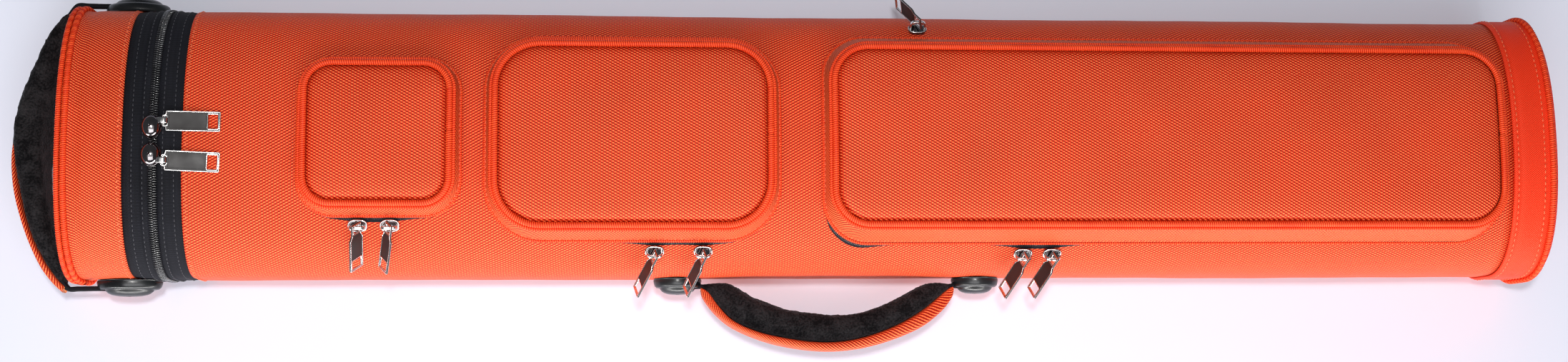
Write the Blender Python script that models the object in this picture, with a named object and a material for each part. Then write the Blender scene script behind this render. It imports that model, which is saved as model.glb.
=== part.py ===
"""A cue case lying on its back, as an assembly of separate pieces.

Units are metres, +Z is up. +X runs along the case towards its base, the lid is at -X, and the side handle
is at -Y. The origin is the centre of the flat back that the case rests on.

The body is a rigid tube with a fabric cover, a foam liner and dividers for 3 butts and 5 shafts. A lid at
the -X end opens on a fabric hinge at the back. Three pockets on the front open as flaps. Nine zip sliders
run on their zips, and each carries a pull that swings on it. Both carry handles swing on their anchors.
"""

import math

import bmesh
import bpy
from mathutils import Matrix, Vector

MM = 0.001
X, Y, Z = 0, 1, 2

# Section of the case, seen along X: a flat back with round corners and an arched front.
HALF_WIDTH = 77 * MM
WIDEST_Z = 42 * MM
FRONT_RISE = 42 * MM
FRONT_POWER = 2.35
BACK_RADIUS = 28 * MM
BACK_STEPS = 5
FRONT_STEPS = 14

# Stations along X.
LID_END = -430 * MM
ZIP_X = -377 * MM
TAPE_LID = 16.7 * MM
TAPE_BODY = 15.4 * MM
SEAM_X = 402 * MM
BASE_END = 430 * MM

# Walls, as distances inwards from the section.
GAP = 0.3 * MM
COVER = 1.2 * MM
SHELL = 2.5 * MM
LINER = 4.0 * MM
TAPE_SUNK = 0.4 * MM
BOOT_PROUD = 1.4 * MM
END_BOARD = 4.0 * MM
HALF_HINGE = 44 * MM

# Zip chain of the lid, as heights above the section.
CHAIN_HALF = 2.3 * MM
CHAIN_TOP = 1.6 * MM
CHAIN_SPLIT = 0.15 * MM

PIPING_RADIUS = 1.9 * MM

# Dividers inside.
ROW_DIVIDER_Z = 45 * MM
DIVIDER = 2.5 * MM
BUTT_DIVIDERS = (-21 * MM, 21 * MM)
SHAFT_DIVIDERS = (-36 * MM, -12 * MM, 12 * MM, 36 * MM)
DIVIDER_START = ZIP_X + 6 * MM
BASE_PAD = 12 * MM

# Zip sliders and pulls, in the slider's own frame: u along the chain, v the way the pull lies, w outwards.
SLIDER_HALF_U = 5.5 * MM
SLIDER_HALF_V = 3.6 * MM
SLIDER_PLATE = 1.8 * MM
ARCH_HALF_V = 0.9 * MM
ARCH_INNER_U = 3.3 * MM
ARCH_OUTER_U = 4.5 * MM
ARCH_INNER_W = 6.2 * MM
ARCH_OUTER_W = 7.4 * MM
PULL_BAR = 1.2 * MM
PULL_SETBACK = 2.15 * MM
PULL_THICK = 1.3 * MM
PULL_HALF = 5.6 * MM
PULL_NECK = 3.9 * MM
PULL_EYE = 2.7 * MM
PULL_EYE_LONG = 5.4 * MM
PULL_LENGTH = 28 * MM
WINDOW_END = 1.4 * MM
WINDOW_START = 6.6 * MM
LID_PULL_LENGTH = 30.3 * MM
LID_NOSE_SHIFT = 3.2 * MM

# Handles.
STRAP_THICK = 4.6 * MM
PAD_THICK = 13.5 * MM
HANDLE_HALF_WIDTH = 14 * MM
TAIL_RADIUS = 2.3 * MM
SOCKET_RADIUS = 3.5 * MM
ANCHOR_HEIGHT = 9 * MM
ANCHOR_RISE = 4.4 * MM
ANCHOR_Z = 36 * MM
ANCHOR_HALF_Z = 12 * MM

MATERIALS = {
    "orange_fabric": ((0.90, 0.13, 0.03), 0.75, 0.0),
    "black_tape": ((0.02, 0.02, 0.025), 0.8, 0.0),
    "black_plush": ((0.012, 0.012, 0.012), 0.95, 0.0),
    "black_plastic": ((0.03, 0.03, 0.032), 0.35, 0.0),
    "gunmetal": ((0.22, 0.21, 0.21), 0.2, 1.0),
    "board": ((0.28, 0.27, 0.26), 0.6, 0.0),
    "foam": ((0.06, 0.06, 0.065), 0.95, 0.0),
}


# ---------------------------------------------------------------- scene and objects


def clear_scene():
    for obj in list(bpy.data.objects):
        bpy.data.objects.remove(obj)


def material(name):
    found = bpy.data.materials.get(name)
    if found:
        return found
    colour, roughness, metallic = MATERIALS[name]
    made = bpy.data.materials.new(name)
    made.use_nodes = True
    shader = made.node_tree.nodes["Principled BSDF"]
    shader.inputs["Base Color"].default_value = (*colour, 1)
    shader.inputs["Roughness"].default_value = roughness
    shader.inputs["Metallic"].default_value = metallic
    return made


def add_object(name, mesh, finish):
    obj = bpy.data.objects.new(name, mesh)
    bpy.context.scene.collection.objects.link(obj)
    if not mesh.materials:
        mesh.materials.append(material(finish))
    return obj


def pivot(name, location, parent=None):
    """An empty on a joint's axis, which carries the pieces that move with it."""
    empty = bpy.data.objects.new(name, None)
    empty.location = Vector(location)
    bpy.context.scene.collection.objects.link(empty)
    if parent:
        attach(empty, parent)
    return empty


def attach(obj, parent):
    """Parents obj without moving it. The parent's own place has to be known, so scenes are updated first."""
    bpy.context.view_layer.update()
    world = obj.matrix_world.copy()
    obj.parent = parent
    obj.matrix_parent_inverse = Matrix.Identity(4)
    obj.matrix_basis = parent.matrix_world.inverted() @ world
    bpy.context.view_layer.update()


def hang(obj, parent):
    """Puts obj's origin on the parent's, keeping its mesh in place."""
    obj.data.transform(Matrix.Translation(-parent.matrix_world.translation))
    obj.matrix_world = Matrix.Translation(parent.matrix_world.translation)
    attach(obj, parent)


# ---------------------------------------------------------------- meshes


def finished(bm, name):
    bmesh.ops.recalc_face_normals(bm, faces=bm.faces)
    mesh = bpy.data.meshes.new(name)
    bm.to_mesh(mesh)
    bm.free()
    mesh.shade_smooth()
    mesh.set_sharp_from_angle(angle=math.radians(35))
    return mesh


def skin(name, rings, finish, looped=False):
    """A closed surface through rings of equal count: capped at both ends, or joined last to first."""
    bm = bmesh.new()
    made = [[bm.verts.new(point) for point in ring] for ring in rings]
    pairs = list(zip(made, made[1:]))
    if looped:
        pairs.append((made[-1], made[0]))
    count = len(made[0])
    for first, second in pairs:
        for i in range(count):
            j = (i + 1) % count
            bm.faces.new((first[i], first[j], second[j], second[i]))
    if not looped:
        bm.faces.new(made[0])
        bm.faces.new(made[-1])
    return add_object(name, finished(bm, name), finish)


def cells(name, us, vs, thickness, holes):
    """A flat plate on a grid of lengths us and widths vs, without the cells named in holes."""
    bm = bmesh.new()
    layers = []
    for w in (-thickness / 2, thickness / 2):
        layers.append({(i, j): bm.verts.new((v, u, w)) for i, u in enumerate(us) for j, v in enumerate(vs)})
    filled = {(i, j) for i in range(len(us) - 1) for j in range(len(vs) - 1)} - set(holes)
    for i, j in filled:
        square = ((i, j), (i + 1, j), (i + 1, j + 1), (i, j + 1))
        for layer in layers:
            bm.faces.new([layer[key] for key in square])
        beside = ((i, j - 1), (i + 1, j), (i, j + 1), (i - 1, j))
        for k, neighbour in enumerate(beside):
            if neighbour not in filled:
                a, b = square[k], square[(k + 1) % 4]
                bm.faces.new((layers[0][a], layers[0][b], layers[1][b], layers[1][a]))
    loose = [vert for vert in bm.verts if not vert.link_faces]
    bmesh.ops.delete(bm, geom=loose, context="VERTS")
    return finished(bm, name)


def box_mesh(name, low, high):
    bm = bmesh.new()
    bmesh.ops.create_cube(bm, size=1)
    low, high = Vector(low), Vector(high)
    size, centre = high - low, (high + low) / 2
    for vert in bm.verts:
        vert.co = Vector([vert.co[k] * size[k] + centre[k] for k in range(3)])
    return finished(bm, name)


def box(name, low, high, finish):
    return add_object(name, box_mesh(name, low, high), finish)


def cylinder_mesh(name, start, end, radius, sides):
    """A cylinder between two points."""
    start, end = Vector(start), Vector(end)
    bm = bmesh.new()
    bmesh.ops.create_cone(
        bm, cap_ends=True, segments=sides, radius1=radius, radius2=radius, depth=(end - start).length
    )
    turn = (end - start).to_track_quat("Z", "Y").to_matrix().to_4x4()
    bmesh.ops.transform(bm, matrix=Matrix.Translation((start + end) / 2) @ turn, verts=bm.verts)
    return finished(bm, name)


def combined(name, base, others, operation, finish):
    """The mesh of base after a Boolean with each of the other meshes."""
    body = add_object(name, base, finish)
    helpers = []
    for i, mesh in enumerate(others):
        helper = add_object(f"{name}_helper_{i}", mesh, finish)
        helpers.append(helper)
        modifier = body.modifiers.new(f"part_{i}", "BOOLEAN")
        modifier.operation = operation
        modifier.object = helper
    bpy.context.view_layer.update()
    mesh = bpy.data.meshes.new_from_object(body.evaluated_get(bpy.context.evaluated_depsgraph_get()))
    body.modifiers.clear()
    body.data = mesh
    for helper in helpers:
        bpy.data.objects.remove(helper)
    return body


# ---------------------------------------------------------------- the section


def front_z(y):
    """Height of the front surface at y."""
    share = min(abs(y) / HALF_WIDTH, 1.0)
    return WIDEST_Z + FRONT_RISE * (1 - share**FRONT_POWER) ** (1 / FRONT_POWER)


def front_slope(y):
    """Angle by which the front falls away at y, in radians."""
    step = 0.1 * MM
    return math.atan2(front_z(abs(y) - step) - front_z(abs(y) + step), 2 * step)


def section():
    """The outline as (y, z) corners, from the back's -Y corner round by +Y."""
    half = [(HALF_WIDTH - BACK_RADIUS, 0.0)]
    for k in range(1, BACK_STEPS + 1):
        turn = math.radians(90 * k / BACK_STEPS)
        half.append(
            (
                HALF_WIDTH - BACK_RADIUS + BACK_RADIUS * math.sin(turn),
                BACK_RADIUS - BACK_RADIUS * math.cos(turn),
            )
        )
    power = 2 / FRONT_POWER
    for k in range(FRONT_STEPS):
        turn = math.radians(90 * k / FRONT_STEPS)
        half.append((HALF_WIDTH * math.cos(turn) ** power, WIDEST_Z + FRONT_RISE * math.sin(turn) ** power))
    top = [(0.0, WIDEST_Z + FRONT_RISE)]
    return half + top + [(-y, z) for y, z in reversed(half)]


def moved_out(outline, distance, floor=None):
    """The outline with every side moved outwards by distance, and kept above floor."""
    moved = []
    count = len(outline)
    for i, corner in enumerate(outline):
        before = Vector(corner) - Vector(outline[i - 1])
        after = Vector(outline[(i + 1) % count]) - Vector(corner)
        normals = [Vector((side.y, -side.x)).normalized() for side in (before, after)]
        mitre = (normals[0] + normals[1]).normalized()
        point = Vector(corner) + mitre * distance / mitre.dot(normals[0])
        if floor is not None:
            point.y = max(point.y, floor)
        moved.append((point.x, point.y))
    return moved


def ring_at(x, outline):
    return [Vector((x, y, z)) for y, z in outline]


def tube(name, x0, x1, outside, inside, finish):
    """A sleeve between two outlines."""
    rings = [ring_at(x0, outside), ring_at(x1, outside), ring_at(x1, inside), ring_at(x0, inside)]
    return skin(name, rings, finish, looped=True)


def cup(name, x_open, x_end, outside, inside, wall, finish):
    """A sleeve closed at x_end by an end wall."""
    inner_end = x_end - math.copysign(wall, x_end - x_open)
    rings = [ring_at(inner_end, inside), ring_at(x_open, inside), ring_at(x_open, outside)]
    rings.append(ring_at(x_end, outside))
    return skin(name, rings, finish)


def slab(name, x0, x1, outline, finish):
    return skin(name, [ring_at(x0, outline), ring_at(x1, outline)], finish)


def without_hinge(outline):
    """The part of an outline that isn't the middle of the back, as an open run."""
    start = [(HALF_HINGE + 2 * GAP, outline[0][1])]
    end = [(-HALF_HINGE - 2 * GAP, outline[0][1])]
    return start + outline + end


def open_band(name, x0, x1, outer, inner, finish):
    """A band round the section that leaves the hinge free."""
    outside, inside = without_hinge(outer), without_hinge(inner)
    rings = []
    for far, near in zip(outside, inside):
        rings.append([Vector((x, *point)) for x, point in ((x0, far), (x1, far), (x1, near), (x0, near))])
    return skin(name, rings, finish)


def ring_cord(name, x, outline, radius, sides, finish):
    """A round cord that runs along an outline."""
    rings = []
    count = len(outline)
    for i, corner in enumerate(outline):
        along = Vector(outline[(i + 1) % count]) - Vector(outline[i - 1])
        out = Vector((along.y, -along.x)).normalized()
        ring = []
        for k in range(sides):
            turn = 2 * math.pi * (k + 0.5) / sides
            reach = radius * math.cos(turn)
            ring.append(Vector((x + radius * math.sin(turn), corner[0] + out.x * reach, corner[1] + out.y * reach)))
        rings.append(ring)
    return skin(name, rings, finish, looped=True)


# ---------------------------------------------------------------- body, lid and base


def make_body(outline):
    """The root's tube: cover, shell, liner, dividers and the base end."""
    shell_out = moved_out(outline, -COVER - GAP)
    shell_in = moved_out(outline, -COVER - GAP - SHELL)
    liner_out = moved_out(outline, -COVER - SHELL - 2 * GAP)
    liner_in = moved_out(outline, -COVER - SHELL - 2 * GAP - LINER)
    base_inner = BASE_END - COVER - GAP
    board_start = base_inner - END_BOARD
    tube("body_cover", ZIP_X + TAPE_BODY, SEAM_X - GAP, outline, moved_out(outline, -COVER), "orange_fabric")
    tube("body_shell", ZIP_X + GAP, base_inner, shell_out, shell_in, "board")
    tube("foam_liner", ZIP_X + 3 * MM, board_start - GAP, liner_out, liner_in, "foam")
    slab("base_board", board_start, base_inner, liner_out, "board")
    slab("base_pad", board_start - GAP - BASE_PAD, board_start - GAP, moved_out(liner_in, -GAP), "foam")
    boot_out = moved_out(outline, BOOT_PROUD, floor=0.0)
    cup("base_boot", SEAM_X, BASE_END, boot_out, moved_out(outline, -COVER), COVER, "orange_fabric")
    rim = moved_out(outline, BOOT_PROUD + PIPING_RADIUS + GAP, floor=PIPING_RADIUS)
    piping = ring_cord("base_piping", BASE_END - 5 * MM, rim, 1.5 * MM, 6, "orange_fabric")
    cut_by_boot(piping, boot_out)
    make_dividers(liner_in, board_start - 2 * GAP - BASE_PAD)


def cut_by_boot(piping, outline):
    """Seats the base piping in the boot's skirt by cutting away what would lie inside it."""
    grown = moved_out(outline, GAP)
    cutter = slab("boot_cutter", BASE_END - 15 * MM, BASE_END + 5 * MM, grown, "board")
    subtract(piping, cutter)


def subtract(obj, cutter):
    modifier = obj.modifiers.new("cut", "BOOLEAN")
    modifier.operation = "DIFFERENCE"
    modifier.object = cutter
    bpy.context.view_layer.update()
    mesh = bpy.data.meshes.new_from_object(obj.evaluated_get(bpy.context.evaluated_depsgraph_get()))
    obj.modifiers.clear()
    obj.data = mesh
    bpy.data.objects.remove(cutter)


def inner_half_width(outline, z):
    """Half width of an outline at height z."""
    for (y0, z0), (y1, z1) in zip(outline, outline[1:]):
        if z0 <= z <= z1 and y0 > 0:
            return y0 + (y1 - y0) * (z - z0) / (z1 - z0)
    return HALF_WIDTH


def inner_top(outline, y):
    """Height of the upper side of an outline at y."""
    upper = [(py, pz) for py, pz in outline if pz > WIDEST_Z]
    for (y0, z0), (y1, z1) in zip(upper, upper[1:]):
        if y1 <= y <= y0:
            return z0 + (z1 - z0) * (y - y0) / (y1 - y0)
    return upper[0][1]


def make_dividers(inside, end):
    """One shelf between the rows, upright dividers below it for the butts and above it for the shafts."""
    reach = inner_half_width(inside, ROW_DIVIDER_Z) - 2 * GAP
    half = DIVIDER / 2
    floor = inside[0][1] + GAP
    shelf_low, shelf_high = ROW_DIVIDER_Z - half, ROW_DIVIDER_Z + half
    box("row_divider", (DIVIDER_START, -reach, shelf_low), (end, reach, shelf_high), "foam")
    for k, y in enumerate(BUTT_DIVIDERS, 1):
        low = (DIVIDER_START, y - half, floor)
        box(f"butt_divider_{k}", low, (end, y + half, shelf_low - GAP), "foam")
    for k, y in enumerate(SHAFT_DIVIDERS, 1):
        top = inner_top(inside, abs(y) + half) - 2 * GAP
        low = (DIVIDER_START, y - half, shelf_high + GAP)
        box(f"shaft_divider_{k}", low, (end, y + half, top), "foam")


def make_lid(outline, hinge):
    """The lid's cup, its foam pad and its rim piping."""
    shell_out = moved_out(outline, -COVER - GAP)
    shell_in = moved_out(outline, -COVER - GAP - SHELL)
    edge = ZIP_X - TAPE_LID
    pieces = [
        cup("lid_cover", edge, LID_END, outline, moved_out(outline, -COVER), COVER, "orange_fabric"),
        cup("lid_shell", ZIP_X - GAP, LID_END + COVER + GAP, shell_out, shell_in, SHELL, "board"),
    ]
    pad_end = LID_END + COVER + 2 * GAP + SHELL
    pieces.append(slab("lid_pad", pad_end, pad_end + 6 * MM, moved_out(shell_in, -GAP), "foam"))
    rim = moved_out(outline, 1.6 * MM, floor=1.6 * MM)
    piping = ring_cord("lid_piping", LID_END + 4 * MM, rim, 1.5 * MM, 6, "orange_fabric")
    cutter = slab("lid_cutter", LID_END - 5 * MM, LID_END + 15 * MM, moved_out(outline, GAP), "board")
    subtract(piping, cutter)
    pieces.append(piping)
    for piece in pieces:
        hang(piece, hinge)


def make_lid_zip(outline, hinge):
    """Two tapes and two chain halves round the front and sides, and the hinge's two leaves at the back."""
    tape_out, tape_in = moved_out(outline, -TAPE_SUNK), moved_out(outline, -COVER)
    chain_out, chain_in = moved_out(outline, CHAIN_TOP, floor=GAP), moved_out(outline, -TAPE_SUNK + GAP)
    lid_edge, body_edge = ZIP_X - TAPE_LID + GAP, ZIP_X + TAPE_BODY - GAP
    open_band("zip_tape_body", ZIP_X + CHAIN_SPLIT, body_edge, tape_out, tape_in, "black_tape")
    tape_lid = open_band("zip_tape_lid", lid_edge, ZIP_X - CHAIN_SPLIT, tape_out, tape_in, "black_tape")
    start, end = ZIP_X + CHAIN_SPLIT, ZIP_X + CHAIN_HALF
    chain_band("zip_chain_body", start, end, chain_out, chain_in)
    chain_lid = chain_band("zip_chain_lid", -end + 2 * ZIP_X, -start + 2 * ZIP_X, chain_out, chain_in)
    leaf_z = (TAPE_SUNK, COVER)
    low, high = (ZIP_X + GAP, -HALF_HINGE, leaf_z[0]), (body_edge, HALF_HINGE, leaf_z[1])
    box("hinge_leaf_body", low, high, "black_tape")
    low, high = (lid_edge, -HALF_HINGE, leaf_z[0]), (ZIP_X - GAP, HALF_HINGE, leaf_z[1])
    leaf_lid = box("hinge_leaf_lid", low, high, "black_tape")
    for piece in (tape_lid, chain_lid, leaf_lid):
        hang(piece, hinge)


def chain_band(name, x0, x1, outer, inner):
    """A chain half, which starts above the rounded back corners so that it never reaches the floor."""
    rings = []
    for far, near in zip(outer, inner):
        if near[1] > BACK_RADIUS * 0.3:
            corners = ((x0, far), (x1, far), (x1, near), (x0, near))
            rings.append([Vector((x, *point)) for x, point in corners])
    return skin(name, rings, "black_tape")


# ---------------------------------------------------------------- pockets


def rounded(half_x, half_y, radius, corner_steps, side_steps):
    """A rounded rectangle as (x, y) points. The sides along Y are divided, because they cross the arch."""
    points = []
    for quarter in range(4):
        sx, sy = ((1, 1), (-1, 1), (-1, -1), (1, -1))[quarter]
        cx, cy = sx * (half_x - radius), sy * (half_y - radius)
        for k in range(corner_steps + 1):
            turn = math.radians(90 * quarter + 90 * k / corner_steps)
            points.append((cx + radius * math.cos(turn), cy + radius * math.sin(turn)))
        if quarter in (1, 3):
            x, start = points[-1]
            for k in range(1, side_steps):
                points.append((x, start + (-sy * (half_y - radius) - start) * k / side_steps))
    return points


class Pocket:
    """A moulded pocket: a shell open towards the case, piping round its front panel, and a zip strip."""

    def __init__(self, name, x, half_x, half_y, radius, rise, lean):
        self.name, self.x = name, x
        self.half_x, self.half_y, self.radius = half_x, half_y, radius
        self.rise, self.lean = rise, lean

    def ring(self, grow_x, grow_y, height, on_case=False):
        """Points of the outline grown by so much. Height is above the case, or above the flatter panel."""
        half_x, half_y = self.half_x + grow_x, self.half_y + grow_y
        radius = max(self.radius + min(grow_x, grow_y), 2 * MM)
        radius = min(radius, half_x * 0.98, half_y * 0.98)
        outline = rounded(half_x, half_y, radius, 5, 8)
        flatten = 1.0 if on_case else 0.8
        return [Vector((self.x + x, y, front_z(flatten * y) + height)) for x, y in outline]

    def base_y(self):
        return self.half_y + self.lean[Y]

    def shell(self):
        wall, rise = 1.6 * MM, self.rise
        groove = 2 * PIPING_RADIUS + GAP
        lean_x, lean_y = self.lean
        deep = -self.half_y + 7 * MM
        rings = [
            self.ring(deep, deep, rise + 0.8 * MM),
            self.ring(-groove - wall, -groove - wall, rise - 1.6 * MM),
            self.ring(-groove - wall, -groove - wall, rise - 3.6 * MM),
            self.ring(lean_x - wall - 0.5 * MM, lean_y - wall - 0.5 * MM, 1.7 * MM, on_case=True),
            self.ring(lean_x, lean_y, 1.7 * MM, on_case=True),
            self.ring(-0.8 * MM, -0.8 * MM, rise - PIPING_RADIUS - 2 * GAP),
            self.ring(-groove, -groove, rise - PIPING_RADIUS - 2 * GAP),
            self.ring(-groove, -groove, rise + 0.6 * MM),
            self.ring(-groove - 5 * MM, -groove - 5 * MM, rise + 2.2 * MM),
            self.ring(deep, deep, rise + 3.0 * MM),
        ]
        return skin(f"{self.name}_pocket_shell", rings, "orange_fabric")

    def piping(self):
        path = self.ring(-PIPING_RADIUS, -PIPING_RADIUS, self.rise)
        rings = []
        for i, point in enumerate(path):
            along = path[(i + 1) % len(path)] - path[i - 1]
            out = Vector((along.y, -along.x, 0)).normalized()
            ring = []
            for k in range(5):
                turn = 2 * math.pi * (k + 0.5) / 5
                ring.append(point + PIPING_RADIUS * (out * math.cos(turn) + Vector((0, 0, math.sin(turn)))))
            rings.append(ring)
        return skin(f"{self.name}_pocket_piping", rings, "orange_fabric", looped=True)

    def zip_strip(self):
        lean_x, lean_y = self.lean
        low, high, out, back = 0.45 * MM, 1.2 * MM, 1.8 * MM, -5 * MM
        rings = [
            self.ring(lean_x + out, lean_y + out, low, on_case=True),
            self.ring(lean_x + out, lean_y + out, high, on_case=True),
            self.ring(lean_x + back, lean_y + back, high, on_case=True),
            self.ring(lean_x + back, lean_y + back, low, on_case=True),
        ]
        return skin(f"{self.name}_pocket_zip", rings, "black_tape", looped=True)


POCKETS = {
    "small": Pocket("small", -254 * MM, 41.5 * MM, 41 * MM, 17 * MM, 15 * MM, (3 * MM, 3.5 * MM)),
    "medium": Pocket("medium", -113 * MM, 78.5 * MM, 53 * MM, 27 * MM, 15 * MM, (4 * MM, 5 * MM)),
    "long": Pocket("long", 194 * MM, 196 * MM, 52.5 * MM, 22 * MM, 16 * MM, (3 * MM, 7 * MM)),
}


def make_pockets():
    """Small and medium open on their +Y side, the long one on its base end."""
    for pocket in POCKETS.values():
        pocket.zip_strip()
        if pocket.name == "long":
            edge = pocket.x + pocket.half_x + pocket.lean[X] + 0.4 * MM
            place = (edge, 0, front_z(0) + 1.5 * MM)
        else:
            edge = pocket.base_y() + 0.4 * MM
            place = (pocket.x, edge, front_z(edge) + 1.5 * MM)
        hinge = pivot(f"{pocket.name}_pocket_hinge", place)
        bpy.context.view_layer.update()
        hang(pocket.shell(), hinge)
        hang(pocket.piping(), hinge)


# ---------------------------------------------------------------- zip sliders and pulls


def slider_mesh():
    """A plate with an arch along it. The arch's hole runs across the chain, so a pull in it stands on edge."""
    plate = rounded(SLIDER_HALF_U, SLIDER_HALF_V, 2.5 * MM, 3, 1)
    rings = []
    for grow, w in ((1, 0), (1, 0.6 * SLIDER_PLATE), (0.85, SLIDER_PLATE)):
        rings.append([Vector((u * grow, v * grow, w)) for u, v in plate])
    base = skin("slider_plate", rings, "gunmetal")
    mesh = base.data
    bpy.data.objects.remove(base)
    low = 0.5 * SLIDER_PLATE
    arch = box_mesh("arch", (-ARCH_OUTER_U, -ARCH_HALF_V, low), (ARCH_OUTER_U, ARCH_HALF_V, ARCH_OUTER_W))
    raised = combined("slider_raised", mesh, [arch], "UNION", "gunmetal")
    reach = 2 * ARCH_HALF_V
    hole = box_mesh("hole", (-ARCH_INNER_U, -reach, SLIDER_PLATE - 0.3 * MM), (ARCH_INNER_U, reach, ARCH_INNER_W))
    cut = combined("slider_pattern", raised.data, [hole], "DIFFERENCE", "gunmetal")
    made = cut.data
    bpy.data.objects.remove(raised)
    bpy.data.objects.remove(cut)
    return made


def lid_slider_mesh(side):
    """A domed slider. A nose under its edge has a hole along the chain, set off to one side of the dome."""
    rings = []
    for grow, w in ((1.0, 0), (1.0, 1.6 * MM), (0.93, 3.6 * MM), (0.72, 5.6 * MM), (0.35, 6.8 * MM)):
        ring = []
        for k in range(16):
            turn = 2 * math.pi * k / 16
            ring.append(Vector((6.8 * MM * grow * math.cos(turn), 5.4 * MM * grow * math.sin(turn), w)))
        rings.append(ring)
    dome = skin("slider_dome", rings, "gunmetal")
    mesh = dome.data
    bpy.data.objects.remove(dome)
    middle = side * LID_NOSE_SHIFT
    low, high = middle - 1.7 * MM, middle + 1.7 * MM
    nose = box_mesh("nose", (low, 1.5 * MM, 0.3 * MM), (high, 8.5 * MM, 4.7 * MM))
    raised = combined("lid_slider_raised", mesh, [nose], "UNION", "gunmetal")
    far = 12 * MM
    cutters = [cylinder_mesh("hole", (-far, 6.4 * MM, 2.5 * MM), (far, 6.4 * MM, 2.5 * MM), 1.3 * MM, 10)]
    for inner, outer in ((-far, low - 0.03 * MM), (high + 0.03 * MM, far)):
        cutters.append(box_mesh("slot", (inner, 3.7 * MM, -1 * MM), (outer, 9 * MM, 8 * MM)))
    cut = combined("lid_slider_pattern", raised.data, cutters, "DIFFERENCE", "gunmetal")
    made = cut.data
    bpy.data.objects.remove(raised)
    bpy.data.objects.remove(cut)
    return made


def pull_mesh(length, name):
    """A pull as a plate: its bar at the origin, an eye beyond the bar, and a window near its far end."""
    half = PULL_BAR / 2
    lengths = [-half, half, PULL_EYE_LONG, PULL_EYE_LONG + 1.7 * MM]
    lengths += [length - WINDOW_START, length - WINDOW_END, length]
    widths = [-PULL_HALF, -PULL_NECK, -PULL_EYE, PULL_EYE, PULL_NECK, PULL_HALF]
    eye = [(1, 2)]
    shoulders = [(i, j) for i in range(3) for j in (0, 4)]
    window = [(4, 1), (4, 2), (4, 3)]
    return cells(name, lengths, widths, PULL_THICK, eye + shoulders + window)


def track_frame(x, y, along):
    """The slider's frame on the case's front at x, y: columns are u, v and w. along is "X" or "Y"."""
    slope = math.copysign(front_slope(y), y)
    out = Vector((0, math.sin(slope), math.cos(slope)))
    if along == "X":
        lie = Vector((0, math.copysign(math.cos(slope), y), -abs(math.sin(slope))))
    else:
        lie = Vector((1, 0, 0))
    chain = lie.cross(out)
    turn = Matrix((chain, lie, out)).transposed().to_4x4()
    return Matrix.Translation(Vector((x, y, front_z(y)))) @ turn


def clear_of_case(points, spare):
    return all(abs(p.y) >= HALF_WIDTH + spare or p.z >= front_z(p.y) + spare for p in points)


def clear_of_plate(points, spare):
    """Whether points in the slider's frame miss a pocket slider's plate."""
    return all(abs(p.y) > SLIDER_HALF_V + spare or p.z > SLIDER_PLATE + spare for p in points)


def pull_frame(frame, centre, setback, yaw, twist):
    """The pull's own frame: yawed and twisted on its axis, and let down as far as case and slider allow."""
    corners = []
    for reach in (-0.6, 0, 1, 2, 2.5, 3, 3.5, 4, 5, 6, 7, 7.2, 9, 11, 14, 18, 22, 25, 28):
        half = PULL_NECK if reach <= 7 else PULL_HALF
        for side in (-half, 0, half):
            for face in (-PULL_THICK / 2, PULL_THICK / 2):
                corners.append(Vector((side, reach * MM - setback, face)))
    rides_plate = setback > 0
    best = None
    for step in range(-20, 160):
        drop = math.radians(step * 0.5)
        turn = Matrix.Rotation(-drop, 4, "X") @ Matrix.Rotation(yaw, 4, "Z") @ Matrix.Rotation(twist, 4, "Y")
        placed = Matrix.Translation(centre) @ turn
        free = not rides_plate or clear_of_plate([placed @ corner for corner in corners], 0.25 * MM)
        if free and clear_of_case([frame @ placed @ corner for corner in corners], 0.6 * MM):
            best = frame @ placed @ Matrix.Translation((0, -setback, 0))
        elif best is not None:
            break
    return best


def make_slider(name, mesh, frame, lift, pull, yaw, twist, track):
    """A slider on its track's pivot, and a pull that swings on the slider."""
    slider_name, pull_name = f"{name[0]}_slider_{name[1]}", f"{name[0]}_pull_{name[1]}"
    seat = frame @ Matrix.Translation((0, 0, lift))
    slider = add_object(slider_name, mesh, "gunmetal")
    slider.matrix_world = seat
    attach(slider, track)
    pull_data, centre, setback = pull
    tab = add_object(pull_name, pull_data, "gunmetal")
    tab.matrix_world = pull_frame(seat, centre, setback, yaw, twist)
    hinge = pivot(f"{pull_name}_bar", seat @ centre, track)
    attach(tab, hinge)


# Pocket, number, x, side of the case, yaw and twist of the pull in degrees.
POCKET_SLIDERS = (
    ("small", 1, -265.8 * MM, -1, 3, -60),
    ("small", 2, -248.2 * MM, -1, 9, 60),
    ("medium", 1, -101 * MM, -1, 24, 78),
    ("medium", 2, -73.5 * MM, -1, 22, 78),
    ("long", 1, 111 * MM, -1, 24, 78),
    ("long", 2, 128 * MM, -1, 24, 78),
    ("long", 3, 51.7 * MM, 1, 24, 78),
)

# Number, y, side of the dome that the nose is on, and yaw of the pull in degrees.
LID_SLIDERS = ((1, 4 * MM, -1, 0), (2, -11.2 * MM, 1, -2))
LID_ARC_RADIUS = 200 * MM


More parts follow.
